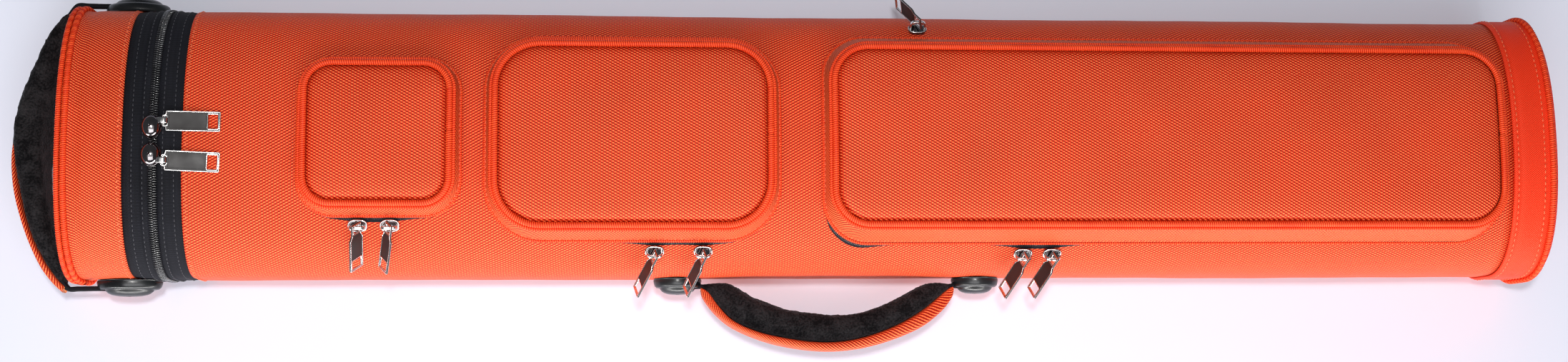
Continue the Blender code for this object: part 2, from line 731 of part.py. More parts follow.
def make_sliders():
    arch, pull = slider_mesh(), pull_mesh(PULL_LENGTH, "pull_pattern")
    centre = Vector((0, 0, (ARCH_INNER_W + ARCH_OUTER_W) / 2))
    for name, number, x, side, yaw, twist in POCKET_SLIDERS:
        y = side * (POCKETS[name].base_y() + SLIDER_HALF_V + 0.9 * MM)
        frame = track_frame(x, y, "X")
        track = pivot(f"{name}_track_{number}", frame.translation)
        turn = math.radians(side * yaw)
        hold = (pull, centre, PULL_SETBACK)
        make_slider((name, number), arch, frame, 1.5 * MM, hold, turn, math.radians(twist), track)
    pull = pull_mesh(LID_PULL_LENGTH, "lid_pull_pattern")
    arc_centre = Vector((ZIP_X, 0, front_z(0) - LID_ARC_RADIUS))
    for number, y, side, yaw in LID_SLIDERS:
        frame = track_frame(ZIP_X, y, "Y")
        track = pivot(f"lid_track_{number}", arc_centre)
        lift = CHAIN_TOP + 0.6 * MM
        bar = Vector((side * LID_NOSE_SHIFT, 6.4 * MM, 2.5 * MM))
        dome = lid_slider_mesh(side)
        make_slider(("lid", number), dome, frame, lift, (pull, bar, 0.0), math.radians(yaw), 0.0, track)


# ---------------------------------------------------------------- handles


def strap_ring(centre, along, half_thick, half_wide, chamfer):
    """An eight-sided ring across a strap that runs in a level plane."""
    out = Vector((along.y, -along.x, 0)).normalized()
    t, w = half_thick, half_wide
    c = min(chamfer, t * 0.8, w * 0.8)
    corners = ((t, w - c), (t - c, w), (c - t, w), (-t, w - c), (-t, c - w), (c - t, -w), (t - c, -w), (t, c - w))
    return [centre + out * a + Vector((0, 0, b)) for a, b in corners]


def sweep(name, path, half_thick, half_wide, chamfer, finish):
    rings = []
    for i, point in enumerate(path):
        before, after = path[max(i - 1, 0)], path[min(i + 1, len(path) - 1)]
        rings.append(strap_ring(point, after - before, half_thick[i], half_wide[i], chamfer))
    return skin(name, rings, finish)


def oval_cap(name, x, half_x, y_side, opening):
    """A domed oval cap on the case's side, less the opening that holds the handle's tail."""
    wall = HALF_WIDTH + 0.5 * MM
    rings = []
    for grow, height in ((1.0, 0), (1.0, 0.35), (0.95, 0.7), (0.82, 0.92), (0.5, 1.0)):
        ring = []
        for k in range(20):
            turn = 2 * math.pi * k / 20
            place = (x + half_x * grow * math.cos(turn), y_side * (wall + ANCHOR_HEIGHT * height))
            ring.append(Vector((*place, ANCHOR_Z + ANCHOR_HALF_Z * grow * math.sin(turn))))
        rings.append(ring)
    dome = skin(name + "_dome", rings, "black_plastic")
    mesh = dome.data
    bpy.data.objects.remove(dome)
    return combined(name, mesh, [opening], "DIFFERENCE", "black_plastic")


def smooth(points, steps):
    """A Catmull-Rom curve through points."""
    path = []
    for i in range(len(points) - 1):
        p0, p1, p2 = points[max(i - 1, 0)], points[i], points[i + 1]
        p3 = points[min(i + 2, len(points) - 1)]
        for k in range(steps):
            t = k / steps
            path.append(
                0.5 * (2 * p1 + (p2 - p0) * t + (2 * p0 - 5 * p1 + 4 * p2 - p3) * t * t
                       + (3 * p1 - p0 - 3 * p2 + p3) * t * t * t)
            )
    path.append(points[-1])
    return path


def handle(name, points, hinge, pad_trim):
    """A strap whose round tails sit in the anchors' sockets, and a pad inside its arch."""
    path = smooth(points, 4)
    count = len(path)
    thick, wide = [], []
    for i in range(count):
        share = min(i, count - 1 - i) / 4
        spread = max(0.0, min(1.0, (share - 2.1) / 1.2))
        spread = spread * spread * (3 - 2 * spread)
        thick.append(TAIL_RADIUS + (STRAP_THICK / 2 - TAIL_RADIUS) * spread)
        wide.append(TAIL_RADIUS + (HANDLE_HALF_WIDTH - TAIL_RADIUS) * spread)
    cover = sweep(f"{name}_cover", path, thick, wide, 1.4 * MM, "orange_fabric")
    inner = []
    for i in range(pad_trim, count - pad_trim):
        along = path[i + 1] - path[i - 1]
        out = Vector((along.y, -along.x, 0)).normalized()
        inner.append(path[i] - out * (STRAP_THICK / 2 + GAP + PAD_THICK / 2))
    middle = len(inner) // 2
    thick, wide = [], []
    for i in range(len(inner)):
        end = 1 - abs(i - middle) / middle
        ease = min(1.0, 0.35 + 2.2 * end)
        thick.append(PAD_THICK / 2 * ease)
        wide.append(min(HANDLE_HALF_WIDTH, HANDLE_HALF_WIDTH * (0.6 + 1.2 * end)))
        along = inner[min(i + 1, len(inner) - 1)] - inner[max(i - 1, 0)]
        out = Vector((along.y, -along.x, 0)).normalized()
        inner[i] = inner[i] + out * (PAD_THICK / 2 * (1 - ease))
    pad = sweep(f"{name}_pad", inner, thick, wide, 4.5 * MM, "black_plush")
    for piece in (cover, pad):
        hang(piece, hinge)


SIDE_ANCHORS = (-87 * MM, 89 * MM)
SIDE_ANCHOR_HALF = 13.8 * MM
TOP_ANCHOR_X = -399 * MM
TOP_ANCHOR_HALF = 18 * MM
TOP_AXIS_X = -411 * MM
SLOT_HALF_Z = 5.5 * MM


def make_side_handle():
    """Its tails lie along the axis it swings on, in round sockets."""
    axis_y = -(HALF_WIDTH + 0.5 * MM + ANCHOR_RISE)
    middle = sum(SIDE_ANCHORS) / 2
    for k, (x, sign) in enumerate(zip(SIDE_ANCHORS, (1, -1)), 1):
        start = (x - sign * 2 * MM, axis_y, ANCHOR_Z)
        end = (x + sign * (SIDE_ANCHOR_HALF + 5 * MM), axis_y, ANCHOR_Z)
        socket = cylinder_mesh("socket", start, end, SOCKET_RADIUS, 12)
        oval_cap(f"side_handle_anchor_{k}", x, SIDE_ANCHOR_HALF, -1, socket)
    hinge = pivot("side_handle_axis", (middle, axis_y, ANCHOR_Z))
    half = [(-86, 0), (-76, -0.2), (-71.3, 4.5), (-68, 14), (-59, 23), (-42, 30), (-21, 34.5)]
    left = [Vector((middle + x * MM, axis_y - d * MM, ANCHOR_Z)) for x, d in half]
    right = [Vector((2 * middle - p.x, p.y, p.z)) for p in reversed(left)]
    apex = [Vector((middle, axis_y - 36 * MM, ANCHOR_Z))]
    bpy.context.view_layer.update()
    handle("side_handle", left + apex + right, hinge, 13)


def make_top_handle(lid_hinge):
    """Its tails turn in slots of the anchors, whose height lets them swing."""
    axis_y = HALF_WIDTH + 0.5 * MM + ANCHOR_RISE
    for k, side in enumerate((-1, 1), 1):
        low = (TOP_AXIS_X - 11 * MM, side * axis_y - SOCKET_RADIUS, ANCHOR_Z - SLOT_HALF_Z)
        high = (TOP_AXIS_X + 5 * MM, side * axis_y + SOCKET_RADIUS, ANCHOR_Z + SLOT_HALF_Z)
        slot = box_mesh("slot", low, high)
        cap = oval_cap(f"top_handle_anchor_{k}", TOP_ANCHOR_X, TOP_ANCHOR_HALF, side, slot)
        attach(cap, lid_hinge)
    hinge = pivot("top_handle_axis", (TOP_AXIS_X, 0, ANCHOR_Z), lid_hinge)
    half = [(-409, 0), (-418, 0), (-430, 0.5), (-441, -7), (-449, -23), (-456, -43), (-461, -63)]
    high = [Vector((x * MM, axis_y + d * MM, ANCHOR_Z)) for x, d in half]
    low = [Vector((p.x, -p.y, p.z)) for p in reversed(high)]
    apex = [Vector((-463 * MM, 0, ANCHOR_Z))]
    bpy.context.view_layer.update()
    handle("top_handle", high + apex + low, hinge, 13)


def main():
    clear_scene()
    outline = section()
    lid_hinge = pivot("lid_hinge", (ZIP_X, 0, 0))
    bpy.context.view_layer.update()
    make_body(outline)
    make_lid(outline, lid_hinge)
    make_lid_zip(outline, lid_hinge)
    make_pockets()
    make_sliders()
    make_side_handle()
    make_top_handle(lid_hinge)


main()
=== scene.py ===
"""The looks of the cue case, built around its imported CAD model. Units are metres."""

import math

import bmesh
import bpy
import numpy as np
from mathutils import Matrix, Vector


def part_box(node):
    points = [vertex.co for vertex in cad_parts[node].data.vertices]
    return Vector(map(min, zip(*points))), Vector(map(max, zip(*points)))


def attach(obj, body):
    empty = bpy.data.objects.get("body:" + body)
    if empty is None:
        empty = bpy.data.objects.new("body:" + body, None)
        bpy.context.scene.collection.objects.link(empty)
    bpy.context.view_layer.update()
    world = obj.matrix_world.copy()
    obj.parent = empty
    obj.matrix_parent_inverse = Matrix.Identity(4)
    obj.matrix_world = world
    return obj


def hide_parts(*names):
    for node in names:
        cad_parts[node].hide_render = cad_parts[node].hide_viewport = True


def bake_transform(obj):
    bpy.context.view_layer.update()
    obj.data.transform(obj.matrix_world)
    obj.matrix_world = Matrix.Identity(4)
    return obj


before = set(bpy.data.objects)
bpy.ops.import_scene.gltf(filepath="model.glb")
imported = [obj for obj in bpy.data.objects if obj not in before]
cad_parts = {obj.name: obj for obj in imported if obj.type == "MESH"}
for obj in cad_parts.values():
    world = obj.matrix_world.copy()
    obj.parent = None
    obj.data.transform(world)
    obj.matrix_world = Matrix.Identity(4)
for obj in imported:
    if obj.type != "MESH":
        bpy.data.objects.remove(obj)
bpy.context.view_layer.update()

MM = 0.001
HERE = Matrix.Identity(4)

# The case's section and stations, as in the CAD.
HALF_WIDTH = 77 * MM
WIDEST_Z = 42 * MM
FRONT_RISE = 42 * MM
FRONT_POWER = 2.35
BACK_RADIUS = 28 * MM
END_ROUND = 3.8 * MM
MIDDLE = (0.0, 40 * MM)
LID_END = -430 * MM
ZIP_X = -377 * MM
TAPE_LID = 16.7 * MM
TAPE_BODY = 15.4 * MM
SEAM_X = 402 * MM
BASE_END = 430 * MM
GAP = 0.3 * MM
COVER = 1.2 * MM
SHELL = 2.5 * MM
LINER = 4.0 * MM
HALF_HINGE = 44 * MM
PIPING = 1.9 * MM

# Points round the section, for cloth, for cords and stitches, for zip tape and for the inside.
RING_POINTS = 220
EDGE_POINTS = 400
TAPE_POINTS = 420
INSIDE_POINTS = 160

rng = np.random.default_rng(7)

# ---------------------------------------------------------------- section and meshes


def mm(rows):
    """Rows given in millimetres, in metres."""
    return [tuple(value * MM for value in row) for row in rows]


def unit(rows):
    return rows / np.linalg.norm(rows, axis=1)[:, None]


def run_lengths(points):
    """Distance of each point from the first, along the points."""
    return np.concatenate([[0], np.cumsum(np.linalg.norm(np.diff(points, axis=0), axis=1))])


def sampled(wanted, lengths, points):
    return np.stack([np.interp(wanted, lengths, column) for column in points.T], 1)


def squarish(sides, side_power, high_power):
    """A rounded rectangle round a middle, as offsets beside and above: the lower a power, the squarer."""
    turn = 2 * np.pi * (np.arange(sides) + 0.5) / sides
    side, high = np.cos(turn), np.sin(turn)
    return np.sign(side) * np.abs(side) ** side_power, np.sign(high) * np.abs(high) ** high_power


def swept(path, beside, above, side, high):
    """A section's offsets, carried along a path."""
    return path[:, None] + beside[:, None] * side[..., None] + above[:, None] * high[..., None]


def front_z(y):
    """Height of the case's front at y."""
    share = np.minimum(np.abs(y) / HALF_WIDTH, 1.0)
    return WIDEST_Z + FRONT_RISE * (1 - share**FRONT_POWER) ** (1 / FRONT_POWER)


def front_slope(y):
    """Angle by which the front falls away at y, signed as y is."""
    step = 0.1 * MM
    near = np.abs(y)
    return np.sign(y) * np.arctan2(front_z(near - step) - front_z(near + step), 2 * step)


def dense_half():
    """The section's half by +Y, from the back's middle to the front's, as close points."""
    power = 2 / FRONT_POWER
    flat = [(y, 0.0) for y in np.linspace(0, HALF_WIDTH - BACK_RADIUS, 24, endpoint=False)]
    side = [(HALF_WIDTH, z) for z in np.linspace(BACK_RADIUS, WIDEST_Z, 8)[1:-1]]
    corner, front = [], []
    for turn in np.radians(np.linspace(0, 90, 40)):
        corner.append((HALF_WIDTH - BACK_RADIUS * (1 - math.sin(turn)), BACK_RADIUS * (1 - math.cos(turn))))
    for turn in np.radians(np.linspace(0, 90, 300)):
        front.append((HALF_WIDTH * math.cos(turn) ** power, WIDEST_Z + FRONT_RISE * math.sin(turn) ** power))
    return flat + corner + side + front


def section(out=0.0, count=RING_POINTS, floor=None):
    """Points, normals and lengths of the outline moved outwards by out, from the back's middle by +Y."""
    half = dense_half()
    points = np.array(half + [(-y, z) for y, z in reversed(half[1:-1])])
    along = unit(np.roll(points, -1, 0) - np.roll(points, 1, 0))
    normals = np.stack([along[:, 1], -along[:, 0]], 1)
    moved = points + normals * out
    if floor is not None:
        moved[:, 1] = np.maximum(moved[:, 1], floor)
    closed = np.vstack([moved, moved[:1]])
    lengths = run_lengths(closed)
    wanted = np.linspace(0, lengths[-1], count + 1)
    ring = sampled(wanted, lengths, closed)[:-1]
    outward = unit(sampled(wanted, lengths, np.vstack([normals, normals[:1]]))[:-1])
    return ring, outward, wanted


def orient(mesh):
    """Turns every face outwards, by the sign of the volume around the mesh's middle."""
    count = len(mesh.polygons)
    centres, normals, areas = np.empty(count * 3), np.empty(count * 3), np.empty(count)
    mesh.polygons.foreach_get("center", centres)
    mesh.polygons.foreach_get("normal", normals)
    mesh.polygons.foreach_get("area", areas)
    centres, normals = centres.reshape(-1, 3), normals.reshape(-1, 3)
    middle = (centres * areas[:, None]).sum(0) / areas.sum()
    if (areas * ((centres - middle) * normals).sum(1)).sum() < 0:
        mesh.flip_normals()


def made_mesh(name, points, faces):
    mesh = bpy.data.meshes.new(name)
    mesh.from_pydata(np.asarray(points, float).reshape(-1, 3).tolist(), [], faces)
    mesh.update()
    mesh.shade_smooth()
    return mesh


def grid_mesh(name, points, wrap_rows=False, wrap_cols=False, caps=False, uv=None):
    """A surface through rows of points, with a map in metres named weave."""
    points = np.asarray(points, float)
    m, n = points.shape[:2]
    rows, cols = (m if wrap_rows else m - 1), (n if wrap_cols else n - 1)
    r, c = np.arange(rows)[:, None], np.arange(cols)[None, :]
    r2, c2 = (r + 1) % m, (c + 1) % n
    quads = np.stack([r * n + c, r * n + c2, r2 * n + c2, r2 * n + c], -1).reshape(-1, 4).tolist()
    if caps:
        quads += [list(range(n)), [(m - 1) * n + k for k in range(n)][::-1]]
    mesh = made_mesh(name, points, quads)
    if uv is None:
        across = np.linalg.norm(np.roll(points, -1, 0) - points, axis=2).mean(1)
        around = np.linalg.norm(np.roll(points, -1, 1) - points, axis=2).mean(0)
        u = np.concatenate([[0], np.cumsum(across)])
        v = np.concatenate([[0], np.cumsum(around)])
        uv = np.stack(np.meshgrid(u, v, indexing="ij"), -1)
    corners = np.stack([uv[r, c], uv[r, c + 1], uv[r + 1, c + 1], uv[r + 1, c]], -2).reshape(-1)
    extra = np.zeros((len(mesh.loops) - corners.size // 2) * 2)
    mesh.uv_layers.new(name="weave").data.foreach_set("uv", np.concatenate([corners, extra]))
    orient(mesh)
    return mesh


def new_object(name, mesh, *materials):
    obj = bpy.data.objects.new(name, mesh)
    bpy.context.scene.collection.objects.link(obj)
    for material in materials:
        mesh.materials.append(material)
    return obj


def piece(name, mesh, body, slot, *materials, replaces=()):
    """An object that rides on a body and stands for the CAD nodes it replaces. Its slot is not used."""
    obj = new_object(name, mesh, *materials)
    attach(obj, body)
    if replaces:
        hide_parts(*replaces)
    return obj


def shape_of(obj):
    """The object's mesh with its modifiers applied."""
    bpy.context.view_layer.update()
    return bpy.data.meshes.new_from_object(obj.evaluated_get(bpy.context.evaluated_depsgraph_get()))


def applied(obj):
    mesh = shape_of(obj)
    obj.modifiers.clear()
    obj.data = mesh


def mesh_only(obj):
    mesh = obj.data
    bpy.data.objects.remove(obj)
    return mesh


def facing_up(mesh):
    if np.mean([face.normal.z for face in mesh.polygons]) < 0:
        mesh.flip_normals()


def thickened(mesh, depth, *materials):
    """The mesh as a sheet of that depth, grown inwards. A second material goes on its inner side."""
    obj = new_object("sheet", mesh, *materials)
    solidify = obj.modifiers.new("depth", "SOLIDIFY")
    solidify.thickness = depth
    solidify.offset = -1
    solidify.material_offset = len(materials) - 1
    solidify.material_offset_rim = 0
    applied(obj)
    return mesh_only(obj)


def frames_along(path, up, closed=True):
    """Unit vectors along, beside and above a path, for each of its points."""
    along = np.roll(path, -1, 0) - np.roll(path, 1, 0) if closed else np.gradient(path, axis=0)
    along = unit(along)
    beside = unit(np.cross(along, up))
    return along, beside, np.cross(beside, along)


def resampled(path, up, pitch, closed=True):
    """The path at an even pitch, with its up vectors and its length."""
    if closed:
        path, up = np.vstack([path, path[:1]]), np.vstack([up, up[:1]])
    lengths = run_lengths(path)
    count = max(4, int(round(lengths[-1] / pitch)))
    wanted = np.linspace(0, lengths[-1], count + 1)
    if closed:
        wanted = wanted[:-1]
    return sampled(wanted, lengths, path), unit(sampled(wanted, lengths, up)), lengths[-1]


def cord_mesh(name, path, up, radius, pitch, rib, rib_pitch, sides, seam=None):
    """A closed round cord with slanting ribs. At seam, a share of its length, it has the step of a joint."""
    path, up, length = resampled(path, up, pitch)
    _, beside, above = frames_along(path, up)
    share = np.arange(len(path))[:, None] / len(path)
    turn = 2 * np.pi * np.arange(sides)[None, :] / sides
    ribs = max(1, round(length / rib_pitch))
    reach = radius * (1 + rib * np.sin(2 * np.pi * ribs * share + turn))
    if seam is not None:
        gap = np.abs((share - seam + 0.5) % 1 - 0.5) * length
        dip = 0.16 * np.exp(-((gap / (1.0 * MM)) ** 2))
        rise = 0.06 * np.exp(-(((gap - 3 * MM) / (1.6 * MM)) ** 2))
        reach = reach * (1 - dip + rise)
    return grid_mesh(name, swept(path, beside, above, reach * np.cos(turn), reach * np.sin(turn)), True, True)


def scatter(name, shape, faces, places):
    """Copies of one small shape, at each of the 4 x 4 places, as one mesh."""
    shape = np.hstack([shape, np.ones((len(shape), 1))])
    points = np.einsum("nij,kj->nki", places, shape)[..., :3]
    k = len(shape)
    every = [[index + i * k for index in face] for i in range(len(places)) for face in faces]
    mesh = made_mesh(name, points, every)
    orient(mesh)
    return mesh


def capsule(stations, sides=6):
    """Points and faces of a closed bead along its own x, from (x, radius, lift) stations."""
    turn = 2 * np.pi * np.arange(sides) / sides
    rings = []
    for x, r, lift in stations:
        rings.append(np.stack([np.full(sides, x), r * np.cos(turn), lift + r * np.sin(turn)], 1))
    faces = [list(range(sides))[::-1], [(len(rings) - 1) * sides + k for k in range(sides)]]
    for i in range(len(rings) - 1):
        for k in range(sides):
            j = (k + 1) % sides
            faces.append([i * sides + k, i * sides + j, (i + 1) * sides + j, (i + 1) * sides + k])
    return np.vstack(rings), faces


def placed_along(path, up, pitch, closed=True, keep=None, wobble=0.0):
    """Places for scatter along a path: x runs along it and z upwards."""
    points, ups, _ = resampled(path, up, pitch, closed)
    along, beside, above = frames_along(points, ups, closed)
    if wobble:
        turn = rng.normal(0, wobble, len(points))[:, None]
        c, s = np.cos(turn), np.sin(turn)
        along, beside = along * c + beside * s, beside * c - along * s
    places = np.zeros((len(points), 4, 4))
    places[:, :3, 0], places[:, :3, 1], places[:, :3, 2], places[:, :3, 3] = along, beside, above, points
    places[:, 3, 3] = 1
    return places if keep is None else places[keep(points)]


def stitches(name, path, up, body, slot, material, size=(3.4, 2.3, 0.33), closed=True, keep=None):
    """Stitches along a path. size is their pitch, length and thickness in millimetres."""
    pitch, long, thick = (value * MM for value in size)
    half = long / 2
    stations = [(-half, thick * 0.35, -thick), (-half * 0.75, thick, 0), (0, thick * 1.1, thick * 0.25)]
    stations += [(half * 0.75, thick, 0), (half, thick * 0.35, -thick)]
    bead, faces = capsule(stations)
    places = placed_along(path, up, pitch, closed, keep, wobble=0.05)
    return piece(name, scatter(name, bead, faces, places), body, slot, material)


# ---------------------------------------------------------------- materials


class Look:
    """A material made of nodes, with short calls for the usual ones."""

    def __init__(self, name, roughness=0.6, metallic=0.0, sheen=0.0, specular=0.5, coat=0.0):
        self.material = bpy.data.materials.new(name)
        self.material.use_nodes = True
        self.tree = self.material.node_tree
        self.shader = self.tree.nodes["Principled BSDF"]
        self.set("Roughness", roughness)
        self.set("Metallic", metallic)
        self.set("Sheen Weight", sheen)
        self.set("Sheen Roughness", 0.45)
        self.set("Specular IOR Level", specular)
        self.set("Coat Weight", coat)

    def set(self, socket, value):
        self.shader.inputs[socket].default_value = value

    def add(self, kind, inputs=(), **settings):
        node = self.tree.nodes.new(kind)
        for key, value in settings.items():
            setattr(node, key, value)
        for key, value in dict(inputs).items():
            self.put(node.inputs[key], value)
        return node

    def put(self, socket, value):
        if isinstance(value, bpy.types.NodeSocket):
            self.tree.links.new(value, socket)
        else:
            socket.default_value = value

    def math(self, operation, *values):
        return self.add("ShaderNodeMath", enumerate(values), operation=operation).outputs[0]

    def plus(self, first, second):
        return self.math("ADD", first, second)

    def minus(self, first, second):
        return self.math("SUBTRACT", first, second)

    def times(self, first, second):
        return self.math("MULTIPLY", first, second)

    def weave_map(self):
        return self.add("ShaderNodeUVMap", uv_map="weave").outputs[0]

    def solid(self):
        return self.add("ShaderNodeTexCoord").outputs["Object"]

    def split(self, vector):
        return self.add("ShaderNodeSeparateXYZ", {0: vector}).outputs

    def noise(self, vector, scale, detail=2.0):
        return self.add("ShaderNodeTexNoise", {"Vector": vector, "Scale": scale, "Detail": detail}).outputs[0]

    def ramp(self, value, low, high, to_low=0.0, to_high=1.0):
        inputs = {0: value, 1: low, 2: high, 3: to_low, 4: to_high}
        return self.add("ShaderNodeMapRange", inputs, clamp=True).outputs[0]

    def mix(self, share, first, second):
        node = self.add("ShaderNodeMix", data_type="RGBA")
        self.put(node.inputs[0], share)
        for socket, value in ((node.inputs[6], first), (node.inputs[7], second)):
            self.put(socket, (*value, 1) if isinstance(value, tuple) else value)
        return node.outputs[2]

    def finish(self, colour, height=None, depth=0.2 * MM, strength=1.0, roughness=None):
        self.put(self.shader.inputs["Base Color"], (*colour, 1) if isinstance(colour, tuple) else colour)
        if height is not None:
            bump = self.add("ShaderNodeBump", {"Height": height, "Distance": depth, "Strength": strength})
            self.put(self.shader.inputs["Normal"], bump.outputs[0])
        if roughness is not None:
            self.put(self.shader.inputs["Roughness"], roughness)
        return self.material


def woven(name, dark, middle, bright, along, across, lean, depth):
    """Cloth on a slanted lattice, with painted shade and painted highlight. dark is painted shade in the
    weave's valleys and is also the colour of its random darker patches. bright is painted highlight: glints
    on the threads. lean is from -1 to 1, the twill's way.
    """
    look = Look(name, 0.55)
    look.set("Specular Tint", (1.0, 0.70, 0.45, 1))
    place = look.weave_map()
    u, v, _ = look.split(place)
    drift = look.times(look.minus(look.noise(place, 45, 1), 0.5), 3.0)
    first = look.plus(look.times(u, 2 * math.pi / along), drift)
    second = look.times(v, 2 * math.pi / across)
    down = look.math("COSINE", look.plus(first, second))
    rising = look.math("COSINE", look.minus(first, second))
    share = 0.5 + 0.5 * lean
    lattice = look.plus(look.times(down, share), look.times(rising, 1 - share))
    fibre = look.noise(place, 2600, 2)
    height = look.plus(look.ramp(lattice, -1, 1), look.times(fibre, 0.35))
    patch = look.noise(place, 18, 3)
    # painted highlight: glints on the threads' tops, drawn in the bright colour
    glint_spots = look.ramp(look.plus(lattice, look.times(look.minus(fibre, 0.5), 1.1)), 0.25, 0.9)
    # painted shade: the lattice's valleys are drawn in the dark colour
    shade = look.mix(look.ramp(lattice, -0.75, 0.4), dark, middle)
    shade = look.mix(look.times(glint_spots, look.ramp(patch, 0.2, 0.8, 0.65, 1.0)), shade, bright)
    worn = look.mix(look.ramp(patch, 0.35, 0.75, 0.0, 0.22), shade, dark)
    return look.finish(worn, height, depth, 0.9, look.ramp(fibre, 0.2, 0.8, 0.45, 0.7))


def corded(name, dark, bright):
    """Tightly wrapped cloth on a cord or an edge, with fine slanting threads. Its threads are drawn bright on
    their crests and dark between them: painted highlight and painted shade.
    """
    look = Look(name, 0.5, specular=0.15)
    place = look.weave_map()
    u, v, _ = look.split(place)
    ribs = look.math("SINE", look.plus(look.times(u, 2 * math.pi / (1.3 * MM)), look.times(v, 900)))
    fibre = look.noise(place, 3000, 2)
    # painted shade between the threads and painted highlight on their crests
    shade = look.mix(look.ramp(look.plus(ribs, look.times(fibre, 0.8)), -0.4, 1.4), dark, bright)
    shade = look.mix(look.ramp(look.noise(place, 60, 2), 0.4, 0.8, 0.0, 0.3), shade, dark)
    return look.finish(shade, look.plus(look.ramp(ribs, -1, 1), look.times(fibre, 0.4)), 0.1 * MM, 0.7)


def thread(name, colour):
    """Twisted sewing thread."""
    look = Look(name, 0.55, specular=0.4)
    fibre = look.noise(look.solid(), 3500, 2)
    dark = tuple(value * 0.55 for value in colour)
    return look.finish(look.mix(look.ramp(fibre, 0.3, 0.7), dark, colour), fibre, 0.06 * MM, 0.6)


def taped(name, dark, bright):
    """Zip tape: fine ribs across it and a herringbone between them."""
    look = Look(name, 0.72, specular=0.12)
    place = look.weave_map()
    u, v, _ = look.split(place)
    across = look.times(v, 2 * math.pi / (0.75 * MM))
    ribs = look.math("SINE", across)
    columns = look.math("SINE", look.times(u, 2 * math.pi / (2.6 * MM)))
    slant = look.math("SINE", look.plus(across, look.times(columns, 1.6)))
    fibre = look.noise(place, 2400, 2)
    height = look.plus(look.ramp(slant, -1, 1), look.times(look.ramp(columns, -1, 1), 0.8))
    patch = look.ramp(look.noise(place, 30, 2), 0.3, 0.7, 0.4, 1.0)
    lit = look.times(look.ramp(look.plus(ribs, fibre), -0.2, 1.6), patch)
    return look.finish(look.mix(lit, dark, bright), height, 0.12 * MM, 0.8)


def plush(name, dark, bright):
    """Short fuzzy pile."""
    look = Look(name, 0.95, sheen=0.35, specular=0.1)
    look.set("Sheen Tint", (0.25, 0.25, 0.28, 1))
    place = look.solid()
    pile = look.plus(look.noise(place, 900, 3), look.times(look.noise(place, 130, 2), 0.8))
    shade = look.mix(look.ramp(pile, 0.75, 1.3), dark, bright)
    return look.finish(shade, pile, 0.7 * MM, 1.0)


def moulded(name, colour, roughness, metallic=0.0, coat=0.0, grain=1500, depth=0.02 * MM, wear_and_glint=None):
    """Plastic or metal with a fine grain and slight marks, lighter in random patches: wear on most finishes,
    painted highlight on the coil's teeth.
    """
    look = Look(name, roughness, metallic, coat=coat)
    look.set("Coat Roughness", 0.08)
    place = look.solid()
    fine = look.noise(place, grain, 3)
    broad = look.noise(place, 90, 3)
    lighter = wear_and_glint or tuple(min(1.0, value * 1.5 + 0.01) for value in colour)
    # random lighter patches: wear on most finishes, painted highlight on the coil's teeth
    shade = look.mix(look.ramp(broad, 0.4, 0.75, 0.0, 0.5), colour, lighter)
    rough = look.ramp(broad, 0.3, 0.75, roughness * 0.8, min(1.0, roughness * 1.35))
    return look.finish(shade, fine, depth, 0.6, rough)


def boarded(name):
    """Pressed fibre board of the stiffener."""
    look = Look(name, 0.8, specular=0.25)
    drawn = look.add("ShaderNodeMapping", {"Vector": look.solid(), "Scale": (1, 4, 4)})
    fibre = look.noise(drawn.outputs[0], 260, 5)
    shade = look.mix(look.ramp(fibre, 0.35, 0.7), (0.055, 0.05, 0.046), (0.16, 0.15, 0.14))
    return look.finish(shade, fibre, 0.2 * MM, 0.7)


# The weave's colours: painted shade for its valleys, which is also the colour of its random darker patches;
# its own orange; and painted highlight for its threads' glints.
VALLEY_SHADE_AND_WEAR = (0.24, 0.002, 0.0004)
ORANGE = (0.88, 0.026, 0.003)
THREAD_GLINT = (1.0, 0.33, 0.10)
nylon = woven("orange_weave", VALLEY_SHADE_AND_WEAR, ORANGE, THREAD_GLINT, 3.0 * MM, 1.7 * MM, 0.35, 0.32 * MM)
nylon_lid = woven("orange_weave_lid", VALLEY_SHADE_AND_WEAR, ORANGE, THREAD_GLINT, 2.6 * MM, 1.6 * MM, -0.55, 0.32 * MM)
# the plain weave's painted shade and painted highlight
plain_shade_and_wear, plain_glint = (0.62, 0.014, 0.002), (0.98, 0.11, 0.036)
nylon_plain = woven("orange_plain", plain_shade_and_wear, ORANGE, plain_glint, 1.5 * MM, 1.1 * MM, 0.0, 0.16 * MM)
nylon_twill = woven("orange_twill", VALLEY_SHADE_AND_WEAR, ORANGE, THREAD_GLINT, 2.2 * MM, 1.9 * MM, 0.8, 0.25 * MM)
# the piping's dark and bright colours are painted shade and painted highlight of its threads
piped = corded("orange_piping", (0.52, 0.009, 0.001), (1.0, 0.12, 0.028))
orange_thread = thread("orange_thread", (0.95, 0.16, 0.06))
black_thread = thread("black_thread", (0.05, 0.05, 0.06))
tape = taped("zip_tape", (0.0035, 0.0035, 0.0045), (0.020, 0.021, 0.030))
lining = taped("lining", (0.010, 0.010, 0.012), (0.040, 0.040, 0.045))
# painted highlight: pale patches on the coil's teeth stand for their glints
tooth_glint = (0.09, 0.09, 0.10)
teeth_nylon = moulded("coil_nylon", (0.012, 0.012, 0.013), 0.16, 0, 0.6, 3000, 0.01 * MM, tooth_glint)
pile = plush("black_plush", (0.0025, 0.0025, 0.003), (0.030, 0.028, 0.030))
velour = plush("velour", (0.010, 0.010, 0.012), (0.050, 0.050, 0.056))
metal = moulded("gunmetal", (0.20, 0.185, 0.19), 0.13, 1.0, depth=0.008 * MM, wear_and_glint=(0.42, 0.40, 0.40))
edge_metal = moulded("bright_edge", (0.66, 0.65, 0.64), 0.20, 1.0, depth=0.01 * MM)
enamel = moulded("dark_enamel", (0.012, 0.010, 0.010), 0.5, depth=0.01 * MM, wear_and_glint=(0.03, 0.027, 0.026))
glossy = moulded("black_plastic", (0.005, 0.006, 0.007), 0.30, coat=0.05, grain=900, depth=0.03 * MM)
